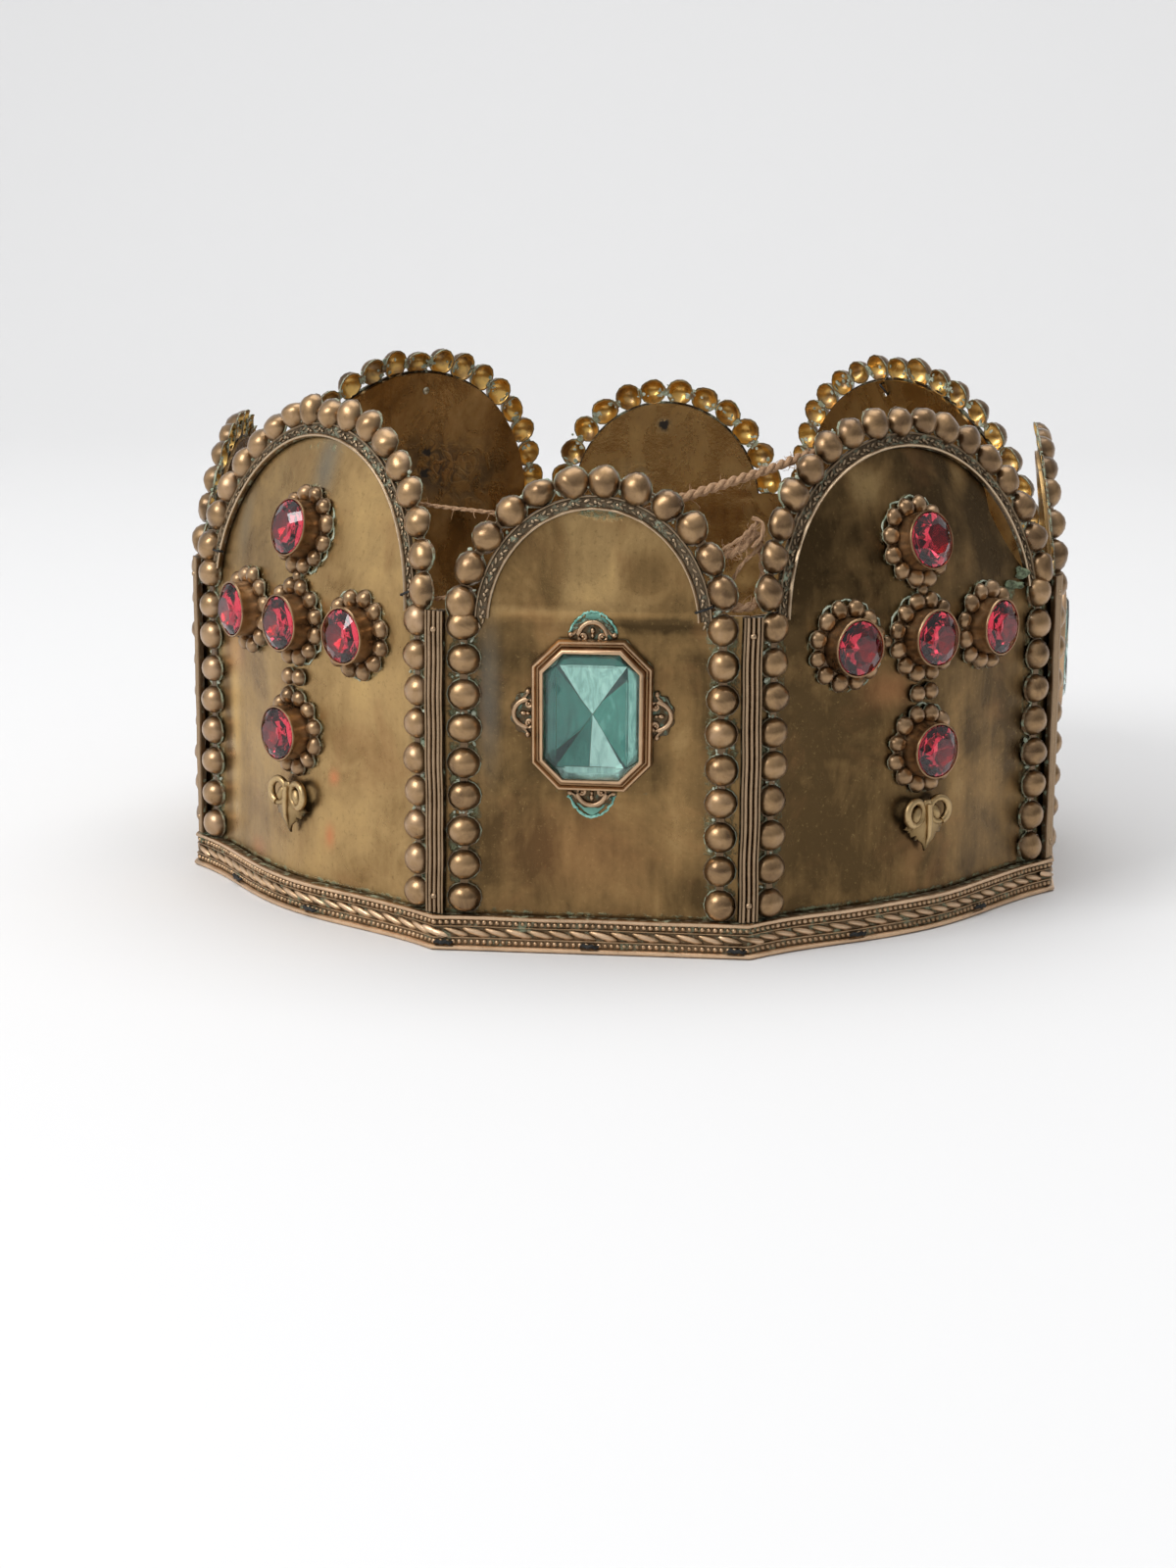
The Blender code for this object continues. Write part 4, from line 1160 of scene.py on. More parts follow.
@dataclass
class BeadBorders:
    """Rows of hollow half-round beads up each side of a panel and over its arch."""
    finishes: Finishes
    scatter: Tree
    radius: float = 0.00378
    height: float = 0.0037
    wall: float = 0.00035
    rim: float = 0.00016
    rim_height: float = 0.00028
    segments: int = 14
    outer_rings: int = 4
    inner_rings: int = 2
    column_beads: int = 9
    column_foot: float = 0.01215
    column_top: float = 0.0765
    first_bead: float = 0.0035
    web_half: float = 0.0011
    web_overlap: float = 0.0007
    crumbs: int = 230
    dent: float = 0.00019
    highest: float = 0.1195
    # Painted light on the front left beads and painted shade on the front right ones, with painted shade on every
    # arch's beads.
    painted_light_tones: tuple[tuple[str, float], ...] = (("front_left", 0.12), ("front_right", -0.05))
    arch_painted_shade: float = -0.07

    def bead(self) -> Mesh:
        """One hollow bead with its thin rim."""
        outer = [(self.radius * cos(a), self.rim_height + (self.height - self.rim_height) * sin(a))
                 for a in np.linspace(0, pi / 2, self.outer_rings + 1)]
        inside = self.radius - self.wall
        inner = [(inside * cos(a), (self.height - self.wall) * sin(a))
                 for a in np.linspace(pi / 2, 0, self.inner_rings + 1)]
        outer[-1] = (0.0, self.height)
        inner[0] = (0.0, self.height - self.wall)
        edge = [(self.radius + self.rim, 0.0), (self.radius + self.rim, self.rim_height)]
        mesh = turned(edge + outer + inner, self.segments)
        points = coordinates(mesh)
        reach = np.hypot(points[:, 0], points[:, 1]) / inside
        size = np.hypot(reach, points[:, 2] / (self.height - self.wall))
        set_attribute(mesh, "inner", (size < 1.02).astype(float))
        return mesh

    def rows(self, panel: Panel) -> tuple[Array, Array, Array]:
        """Places (n, 3), sizes (n, 3) and turns (n,) of a panel's beads."""
        rng = np.random.default_rng(7 + panel.index)
        side = panel.half - COLUMN_INSET
        up = np.linspace(self.column_foot, self.column_top, self.column_beads)
        start = panel.arch_start(0.0, SHOULDER + self.first_bead)
        angles = np.linspace(pi - start, start, panel.kind.value.arch_beads)
        angles -= panel.slip / panel.kind.value.arch_rise
        arch = panel.arch(0.0, angles)
        line = np.vstack((np.column_stack((np.full(len(up), -side), up)), arch,
                          np.column_stack((np.full(len(up), side), up[::-1]))))
        count = len(line)
        places = np.column_stack((line, np.full(count, GAP)))
        places[:, :2] += rng.normal(0, 0.00013, (count, 2))
        places[:, 1] = np.minimum(places[:, 1], self.highest)
        sizes = 1 + rng.normal(0, 0.022, (count, 3))
        turns = np.concatenate((np.zeros(len(up)), angles, np.zeros(len(up))))
        arch_slice = slice(len(up), count - len(up))
        squeeze = rng.uniform(0, 1, len(arch)) ** 3
        sizes[arch_slice, 0] -= 0.17 * squeeze
        sizes[arch_slice, 1] += 0.05 * squeeze
        sizes[:, 2] *= 1 - 0.1 * rng.uniform(0, 1, count) ** 2
        sizes[: len(up), 0] *= 1.05
        sizes[: len(up), 1] *= 0.965
        for end in (len(up), count - len(up) - 1):
            sizes[end] *= (1.06, 1.1, 1.0)
        return places, sizes, turns

    def webs(self, places: Array) -> list[Mesh]:
        """The thin bridges between neighbouring beads."""
        section = [(-self.web_half, GAP), (self.web_half, GAP),
                   (self.web_half * 0.8, GAP + 0.00055), (-self.web_half * 0.8, GAP + 0.00055)]
        made = []
        for first, second in zip(places[:-1, :2], places[1:, :2]):
            step = unit(second - first)
            inset = self.radius - self.web_overlap
            ends = np.array([first + step * inset, second - step * inset])
            made.append(swept(ends, section, False))
        return made

    def grit(self, panel: Panel, places: Array) -> Mesh:
        """Small blobs of solder and crust between the beads."""
        rng = np.random.default_rng(90 + panel.index)
        first = rng.integers(0, len(places) - 1, self.crumbs)
        share = rng.normal(0.5, 0.12, self.crumbs)[:, None]
        spots = places[first] * (1 - share) + places[first + 1] * share
        spots[:, :2] += rng.normal(0, 0.0011, (self.crumbs, 2))
        spots[:, 2] = GAP
        sizes = rng.uniform(0.5, 1.5, (self.crumbs, 3)) * 0.00052
        grain = dome(1.0, 1.0, 6, 2)
        return self.scatter.run(points_mesh(spots, sizes, rng.uniform(0, 6, self.crumbs)), grain,
                                self.finishes.salt, Tilt=0.3, Seed=panel.index)

    def build(self) -> None:
        """Makes each panel's bead border."""
        for panel in PANELS:
            places, sizes, turns = self.rows(panel)
            piece = Piece("beads_" + panel.name, [self.finishes.beads, self.finishes.salt])
            beads = self.scatter.run(points_mesh(places, sizes, turns), self.bead(), self.finishes.beads,
                                     Tilt=0.06, Seed=panel.index)
            points = coordinates(beads)
            loose = np.where(points[:, 1] > SHOULDER + 0.001, 1.0, 0.35)
            wobble(beads, panel.index + 60, self.dent, 0.006, loose[:, None])
            # Painted light and shade: each panel's beads get its tone, and the arch beads are darker still.
            tone = dict(self.painted_light_tones).get(panel.name, 0.0)
            set_attribute(beads, "tone", np.where(points[:, 1] > SHOULDER, tone + self.arch_painted_shade, tone))
            piece.add(beads)
            ends = self.column_beads
            for part in (places[:ends], places[ends:-ends], places[-ends:]):
                piece.add(*self.webs(part))
            piece.add(self.grit(panel, places), finish=1)
            piece.finished("bead_border_" + panel.name, panel.place, 55)


@dataclass
class ArchBands:
    """Narrow stamped bands inside the arch beads, with leaves and dots between two raised lines."""
    finishes: Finishes
    follow: Tree
    inset: float = 0.00475
    half: float = 0.0017
    foot: float = 0.0783
    steps: int = 60
    pitch: float = 0.0047

    def section(self) -> list[tuple[float, float]]:
        """The band's section: a floor between an outer line and a taller inner lip."""
        h = self.half
        return [(-h, GAP), (-h, 0.00085), (-h + 0.0002, 0.00125), (-h + 0.0005, 0.00125), (-h + 0.0007, 0.0009),
                (h - 0.0008, 0.0009), (h - 0.0006, 0.0015), (h - 0.0003, 0.00175), (h, 0.0015), (h, GAP)]

    def motif(self) -> Mesh:
        """One pair of slanted leaves with a dot between them."""
        bm = bmesh.new()
        for x, y, turn, long, wide, high in (
                (-1.75, 0.3, 0.45, 1.0, 0.34, 0.62), (-0.8, -0.42, -0.2, 0.85, 0.28, 0.5),
                (0.15, 0.05, 0.0, 0.46, 0.5, 0.7), (1.1, -0.28, -0.55, 0.85, 0.32, 0.6),
                (1.75, 0.42, 0.15, 0.65, 0.26, 0.45)):
            bm.from_mesh(bump((x * MM, y * MM, 0.0008), (long * MM, wide * MM, high * MM), turn, 8, 2))
        return from_bmesh(bm)

    def build(self) -> None:
        """Makes each arch's band."""
        for panel in PANELS:
            start = panel.arch_start(self.inset, self.foot)
            path = panel.arch(self.inset, np.linspace(pi - start, start, self.steps))
            piece = Piece("arch_band_" + panel.name, [self.finishes.band, self.finishes.wire])
            piece.add(swept(path, self.section(), False))
            line = np.column_stack((path, np.zeros(len(path))))
            piece.add(self.follow.run(path_mesh(line), self.motif(), self.finishes.band, Seed=panel.index,
                                      Count=round(steps_along(path).sum() / self.pitch), Variation=0.06))
            for end, tied in ((0.96, panel.name in ("front", "front_left")), (0.04, panel.index > 1)):
                if tied:
                    piece.add(self.tie(path, end), finish=1)
            piece.finished("", panel.place, 35)

    def tie(self, path: Array, share: float) -> Mesh:
        """A wire tie round the band, so far along it."""
        i = round(share * (len(path) - 1))
        along = unit(path[min(i + 1, len(path) - 1)] - path[i - 1])
        side = np.array((along[1], -along[0]))
        reach = self.half + 0.0004
        spots = [(-reach, 0.0006), (-reach * 0.9, 0.0017), (0.0, 0.0021), (reach * 0.9, 0.0021), (reach, 0.0008)]
        route = [(*(path[i] + side * out + along * 0.2 * out), up) for out, up in spots]
        return tube(route, 0.00028, 6)


# Ornaments of the wide panels

@dataclass
class Crosses:
    """Five bead-ringed rosettes with tall collets and round stones, and a curled leaf."""
    finishes: Finishes
    scatter: Tree
    ring_beads: int = 12
    ring_radius: float = 0.0086
    bead_radius: float = 0.00226
    bead_height: float = 0.0021
    collet_radius: float = 0.0066
    collet_height: float = 0.0059
    stone_radius: float = 0.0061
    stone_sides: int = 16
    link_radius: float = 0.0022

    def collet(self) -> Mesh:
        """The tall cup that holds a stone, with its rim turned in."""
        r, top = self.collet_radius, self.collet_height
        profile = [(0.0, 0.0008), (r + 0.0003, 0.0008), (r + 0.0001, 0.0014), (r - 0.0001, 0.004),
                   (r, top - 0.0006), (r + 0.00015, top - 0.0002), (r, top + 0.0001), (r - 0.0003, top + 0.0001),
                   (r - 0.0005, top - 0.0004), (r - 0.0006, 0.0024), (0.0, 0.002)]
        return turned(profile, 32)

    def foil(self, seed: int, lit_side: float) -> Mesh:
        """The foil under a stone, whose facet tones are a painted reflection, brightest towards the lit side."""
        rng = np.random.default_rng(seed)
        n = 7
        turns = 2 * pi * (np.arange(n) + rng.uniform(0, 1)) / n
        rim, middle = ([(r * cos(a), r * sin(a), z) for a in turns + shift]
                       for r, z, shift in ((self.stone_radius * 0.93, 0.0053, 0.0),
                                           (self.stone_radius * 0.5, 0.0039, pi / n)))

        def tone(angle: float, least: float) -> float:
            """Bright towards the lit side, with chance spread."""
            lit = max(0.0, cos(angle - lit_side)) ** 2
            return least + 0.72 * lit * rng.uniform(0.5, 1.0) + rng.uniform(0, 0.16)

        facets = []
        for i in range(n):
            j = (i + 1) % n
            angle = float(turns[i]) + pi / n
            facets.append(((rim[i], rim[j], middle[i]), tone(angle, 0.05)))
            facets.append(((rim[j], middle[j], middle[i]), tone(angle + pi / n, 0.0)))
            facets.append(((middle[i], middle[j], (0.0, 0.0, 0.003)), tone(angle + pi / n, 0.12)))
        return faceted(facets, 0.0002)

    def stone(self) -> Mesh:
        """A round cut stone: a table, large sloping facets and a pointed back."""
        r, n = self.stone_radius, 8
        bm = bmesh.new()
        rings = ((r * 0.56, 0.0077, 0.0, n), (r * 0.99, 0.006, 0.25, 2 * n), (r * 0.99, 0.0057, 0.25, 2 * n),
                 (r * 0.52, 0.0043, 0.0, n))
        for radius, height, shift, count in rings:
            for i in range(count):
                angle = 2 * pi * (i + shift) / count
                bm.verts.new((radius * cos(angle), radius * sin(angle), height))
        bm.verts.new((0, 0, 0.0034))
        bmesh.ops.convex_hull(bm, input=bm.verts)
        bmesh.ops.dissolve_limit(bm, angle_limit=radians(2), verts=bm.verts, edges=bm.edges)
        return from_bmesh(bm)

    def ring(self, piece: Piece, place: tuple[float, float], seed: int) -> None:
        """One rosette's backing, beads and collet."""
        rng = np.random.default_rng(seed)
        turns = circle(self.ring_beads) + pi / self.ring_beads
        swell = 1 + rng.normal(0, 0.02, self.ring_beads)
        places = np.column_stack((place[0] + self.ring_radius * swell * np.cos(turns),
                                  place[1] + self.ring_radius * swell * np.sin(turns),
                                  np.full(self.ring_beads, 0.0006)))
        sizes = 1 + rng.normal(0, 0.035, (self.ring_beads, 3))
        bead = dome(self.bead_radius, self.bead_height, 12, 4)
        beads = self.scatter.run(points_mesh(places, sizes, turns), bead, self.finishes.cross,
                                 Tilt=0.07, Seed=seed)
        wobble(beads, seed, 0.0001, 0.006)
        lobes = circle(96)
        reach = self.ring_radius + self.bead_radius * (0.62 + 0.34 * np.cos((lobes - turns[0]) * self.ring_beads))
        outline = np.column_stack((place[0] + reach * np.cos(lobes), place[1] + reach * np.sin(lobes)))
        piece.add(beads, plate(outline, GAP, 0.001, 0.0002), moved(self.collet(), (*place, 0.0)))

    def leaf(self, piece: Piece, finish: int) -> None:
        """The curled leaf: two open loops, a rolled petal in each and a lobed tip."""
        right = [(0.9, 31.6), (1.9, 29.4), (2.2, 27.0), (3.6, 25.9), (5.4, 25.9), (6.3, 24.9), (5.1, 24.3),
                 (4.7, 22.9), (3.3, 23.2), (2.5, 21.9), (1.2, 20.9), (0.0, 18.9)]
        outline = [(x * MM, y * MM) for x, y in right]
        outline += [(-x, y) for x, y in reversed(outline[:-1])]
        bm = bmesh.new()
        bm.from_mesh(plate(outline, 0.0006, 0.0013, 0.00025))
        bmesh.ops.triangulate(bm, faces=bm.faces)
        for axis in ((1, 0, 0), (0, 1, 0)):
            sliced(bm, axis, np.arange(-8, 34) * 0.001)
        body = from_bmesh(bm)
        points = coordinates(body)
        bulge = np.clip(1 - np.abs(points[:, 0]) / 0.0062, 0, 1) * np.clip((points[:, 1] - 0.0188) / 0.006, 0, 1)
        points[:, 2] += 0.0016 * np.sqrt(bulge)
        set_coordinates(body, points)
        parts = [body]
        for side in (-1, 1):
            loop = [(side * (0.0038 + 0.0028 * cos(a)), 0.0287 + 0.0029 * sin(a), 0.0024 + 0.0004 * cos(a))
                    for a in np.linspace(-1.3, 5.2, 32)]
            thick = 0.00095 - 0.0004 * (np.arange(len(loop)) / len(loop)) ** 3
            parts.append(tube(loop, thick.tolist(), 10))
            parts.append(bump((side * 0.0031, 0.028, 0.0012), (0.0016, 0.0027, 0.0019), side * 0.45, 14, 4))
            for x, y, turn in ((4.3, 24.9, 0.9), (2.6, 23.2, 0.35)):
                parts.append(bump((side * x * MM, y * MM, 0.0014), (0.0005, 0.0015, 0.0009), side * turn, 10))
        middle = [(0.0, 0.0305, 0.003), (0.0, 0.0265, 0.0032), (0.0, 0.023, 0.003), (0.0, 0.02, 0.0018)]
        piece.add(*parts, tube(middle, [0.0007, 0.0007, 0.0005, 0.0003], 8), finish=finish)

    def build(self) -> None:
        """Makes each cross, its foils and its stones."""
        stone = self.stone()
        for panel in (item for item in PANELS if item.is_wide):
            piece = Piece("rosette_cross_" + panel.name,
                          [self.finishes.cross, self.finishes.ruby_foil, self.finishes.leaf])
            # The side where the painted reflection on the ruby foils is brightest.
            lit_side = radians(-40 if panel.index < len(PANELS) / 2 else -130)
            for i, place in enumerate(CROSS.values()):
                self.ring(piece, place, 100 * panel.index + i)
                piece.add(moved(self.foil(10 * panel.index + i, lit_side), (*place, 0.0)), finish=1)
            link = dome(self.link_radius, self.link_radius * 0.95, 12, 4, 0.0006)
            half_down, half_up = ((CROSS_UP + CROSS[end][1]) / 2 for end in ("bottom", "top"))
            for x, y, size in ((-0.0021, half_down, 1.0), (0.0022, half_down + 0.0002, 1.0),
                               (-0.0114, CROSS_UP, 0.7), (0.0114, CROSS_UP, 0.7), (0.0, half_up, 0.7)):
                piece.add(moved(link, (x, y, 0.0), 0.0, (size, size, size)))
            self.leaf(piece, 2)
            piece.finished("cross_" + panel.name, panel.place, 50)
            for i, (part, place) in enumerate(CROSS.items()):
                gem = Piece(f"red_stone_{panel.name}_{part}", [self.finishes.ruby])
                gem.add(moved(stone, (*place, 0.0), 0.37 * i + panel.index))
                gem.finished(f"ruby_{panel.name}_{part}", panel.place, smooth=False)


# Ornaments of the narrow panels

@dataclass
class StoneSettings:
    """Large eight-sided stones in stepped frames with four scrolls."""
    finishes: Finishes
    width: float = 0.0218
    length: float = 0.029
    cut: float = 0.0045
    table_inset: float = 0.0026
    girdle: float = 0.004
    top: float = 0.0056
    apex: float = 0.0014
    frame_reach: float = 0.0031
    foil_gap: float = 0.0003
    foil_rim: float = 0.0029

    def octagon(self, grow: float = 0.0) -> Array:
        """The stone's outline (8, 2), grown by an even border."""
        x, y = self.width / 2 + grow, self.length / 2 + grow
        cut = self.cut + grow * (2 - sqrt(2))
        quarter = [(x, y - cut), (x - cut, y)]
        right = [(a, -b) for a, b in reversed(quarter)] + quarter
        return np.array(right + [(-a, -b) for a, b in right])

    def stone(self) -> Mesh:
        """The cut stone, with its table, sloping edge facets and pointed back."""
        bm = bmesh.new()
        for outline, height in ((self.octagon(-self.table_inset), self.top), (self.octagon(), self.girdle),
                                (self.octagon(), self.girdle - 0.0005)):
            for x, y in outline:
                bm.verts.new((x, y + STONE_UP, height))
        bm.verts.new((0, STONE_UP - 0.0004, self.apex))
        bmesh.ops.convex_hull(bm, input=bm.verts)
        bmesh.ops.dissolve_limit(bm, angle_limit=radians(1), verts=bm.verts, edges=bm.edges)
        return from_bmesh(bm)

    def foil(self) -> Mesh:
        """The foil against the stone's back: four large facets that meet in a cross, and a rim, whose tones are
        painted reflections.
        """
        half_x, half_y = self.width / 2, self.length / 2

        def depth(x: float, y: float) -> tuple[float, float, float]:
            """The point of the foil at a place from the stone's middle."""
            share = max(abs(x) / half_x, abs(y) / half_y, (abs(x) + abs(y)) / (half_x + half_y - self.cut))
            rim = self.girdle - 0.0005
            return x, y + STONE_UP, self.apex + (rim - self.apex) * min(share, 1.0) - self.foil_gap

        x, y = half_x - self.foil_rim, half_y - self.foil_rim
        corners = [(-x, y), (x, y), (x, -y), (-x, -y)]
        wedges = (0.0009, 0.003, 0.0007, 0.0036)
        # Painted reflections: each facet of the foil, its rim and its corners gets a fixed tone, with dark wedges
        # between.
        painted_light_tones = (0.8, 0.47, 0.96, 0.3)
        rim_tones = (0.3, 0.66, 0.86, 0.24)
        corner_tones = (0.9, 0.1, 1.0, 0.42)
        heart = (0.0002, 0.0004)
        inner = [(heart[0] + 0.3 * (a - heart[0]), heart[1] + 0.3 * (b - heart[1])) for a, b in corners]
        sides = [np.array(corners[i]) + unit(np.subtract(corners[(i + 1) % 4], corners[i])) * wedge
                 for i, wedge in enumerate(wedges)]
        octagon = np.roll(self.octagon()[::-1], -3, axis=0)
        flat = []
        for i in range(4):
            j = (i + 1) % 4
            if i == 2:
                fold = (sides[i] + corners[j]) / 2
                flat.append(((heart, inner[i], sides[i], fold), painted_light_tones[i]))
                flat.append(((heart, fold, corners[j], inner[j]), 0.46))
            else:
                flat.append(((heart, inner[i], sides[i], corners[j], inner[j]), painted_light_tones[i]))
            flat.append(((inner[i], corners[i], sides[i]), -0.1))
            flat.append(((corners[i], octagon[2 * i], octagon[2 * i + 1], corners[j], sides[i]), rim_tones[i]))
            flat.append(((corners[i], octagon[2 * i - 1], octagon[2 * i]), corner_tones[i]))
        return faceted([([depth(*place) for place in places], tone) for places, tone in flat], 0.0002)

    def wall(self) -> Mesh:
        """The stepped frame: a thin inner lip, a groove and a rounded outer step."""
        reach = self.frame_reach
        section = [(0.00006, GAP), (0.00006, 0.0041), (0.0002, 0.0046), (0.0005, 0.0047), (0.0009, 0.0045),
                   (0.0011, 0.0039), (0.0012, 0.0028), (0.0015, 0.0023), (0.0018, 0.0023), (0.002, 0.0029),
                   (0.0023, 0.0033), (0.0027, 0.0032), (reach - 0.0002, 0.0026), (reach, 0.0018), (reach, GAP)]
        ring = swept(self.octagon(), section, True)
        ring.transform(Matrix.Translation((0, STONE_UP, 0)))
        points = coordinates(ring)
        outer = np.clip((np.abs(points[:, 0]) - self.width / 2) / 0.001, 0, 1)
        outer = np.maximum(outer, np.clip((np.abs(points[:, 1] - STONE_UP) - self.length / 2) / 0.001, 0, 1))
        wobble(ring, 21, 0.0001, 0.012, outer[:, None])
        return ring

    def scroll(self, reach: float) -> list[Mesh]:
        """A C scroll with curled ends, a bud inside and two outside, on its low backing."""
        half, high = 0.0034, reach - 0.0006
        arch = [(half * cos(a), high * sin(a)) for a in np.linspace(0.12, pi / 2, 10)]
        curl = [(0.0023 + 0.0011 * (1 - 0.5 * t) * cos(a), 0.0005 + 0.0011 * (1 - 0.5 * t) * sin(a))
                for t, a in zip(np.linspace(1, 0, 12), np.linspace(-5.6, 0.1, 12))]
        parts = []
        for mirror in (1, -1):
            route = [(x * mirror, y, 0.0012) for x, y in curl + arch]
            thick = list(np.linspace(0.00034, 0.00052, len(curl))) + [0.0006] * len(arch)
            parts.append(tube(route, thick, 8))
            stem = [(mirror * x, y, 0.001) for x, y in ((0.0034, 0.0022), (0.0041, 0.0012), (0.0048, 0.0008))]
            parts.append(tube(stem, [0.0003, 0.0004, 0.0004], 6))
            parts.append(bump((mirror * 0.005, 0.0008, 0.0007), (0.0008, 0.0008, 0.0009)))
            parts.append(bump((mirror * 0.0022, 0.0005, 0.0008), (0.00055, 0.00055, 0.0008)))
        for y, size in ((0.0018, 0.0008), (0.0007, 0.0006)):
            parts.append(bump((0.0, y, 0.0008), (size * 0.8, size * 1.2, 0.0009)))
        turns = np.linspace(0, pi, 41)
        swell = 1 + 0.05 * np.cos(10 * turns)
        outline = np.column_stack((0.0051 * np.cos(turns) * swell, (reach + 0.0001) * np.sin(turns) ** 0.8 * swell))
        outline = np.vstack((outline, [(-0.0051, -0.0008), (0.0051, -0.0008)]))
        return [*parts, plate(outline, GAP, 0.00085, 0.00018)]

    def build(self) -> None:
        """Makes each setting, its foil and its stone."""
        for panel in (item for item in PANELS if not item.is_wide):
            piece = Piece("stone_setting_" + panel.name,
                          [self.finishes.setting, self.finishes.scroll, self.finishes.teal_foil])
            piece.add(self.wall())
            piece.add(self.foil(), finish=2)
            for turn, reach in enumerate((0.0044, 0.0047, 0.0042, 0.0047)):
                distance = (self.width if turn % 2 else self.length) / 2 + self.frame_reach
                place = Matrix.Translation((0, STONE_UP, 0)) @ Matrix.Rotation(turn * pi / 2, 4, "Z")
                for part in self.scroll(reach):
                    part.transform(place @ Matrix.Translation((0, distance, 0)))
                    piece.add(part, finish=1)
            piece.finished("stone_frame_" + panel.name, panel.place, 50)
            gem = Piece("cut_stone_" + panel.name, [self.finishes.teal])
            gem.add(self.stone())
            gem.finished("teal_stone_" + panel.name, panel.place, smooth=False)


# Corner strips and base border

@dataclass
class Pilasters:
    """Reeded strips on the corners, with a pin at each end."""
    finishes: Finishes
    width: float = 0.0046
    low: float = 0.0086
    ribs: int = 3
    rows: int = 26
    pin: float = 0.00075
    pin_heights: tuple[float, float] = (0.0125, 0.0755)

    def section(self) -> Array:
        """The strip's section: two thin edges and rounded ribs between them."""
        half = self.width / 2
        x = np.linspace(-half, half, 33)
        share = (x + half - 0.0005) / (self.width - 0.001)
        ribs = 0.0006 + 0.001 * np.abs(np.sin(pi * self.ribs * np.clip(share, 0, 1))) ** 0.6
        edge = np.abs(x) > half - 0.00045
        front = np.column_stack((x, np.where(edge, 0.00135, ribs)))
        return np.vstack(([(-half, 0.0)], front, [(half, 0.0)]))

    def build(self) -> None:
        """Makes the strip after each panel."""
        for panel in PANELS:
            following = PANELS[(panel.index + 1) % len(PANELS)]
            rng = np.random.default_rng(panel.index + 300)
            section = self.section()
            name = f"{panel.name}_to_{following.name}"
            piece = Piece("reeded_strip_" + name, [self.finishes.strip])
            piece.add(lofted([[(x, height, out) for x, out in section]
                              for height in np.linspace(self.low, SHOULDER, self.rows)]))
            for height in self.pin_heights:
                piece.add(moved(dome(self.pin, self.pin * 0.8, 10, 3), (rng.normal(0, 0.0001), height, 0.0015)))
            along, outward = panel.axes
            corner = along * panel.half + outward * panel.distance
            angle = panel.index * TURN + TURN / 2
            across = np.array((cos(angle), sin(angle), 0.0))
            out = np.array((sin(angle), -cos(angle), 0.0))
            bends = rng.uniform(0, 6, 3)

            def onto_corner(flat: Array) -> Array:
                """Stands the strip on its corner, with a slight waver."""
                waver = 0.0001 * np.sin(flat[:, 1] * 130 + bends[0]) + 0.00006 * np.sin(flat[:, 1] * 410 + bends[1])
                side = np.outer(flat[:, 0] + waver, across)
                depth = np.outer(flat[:, 2] + GAP + 0.00004 * np.sin(flat[:, 1] * 300 + bends[2]), out)
                return corner + side + depth + np.outer(flat[:, 1], (0, 0, 1))

            piece.finished("pilaster_" + name, onto_corner, 60)


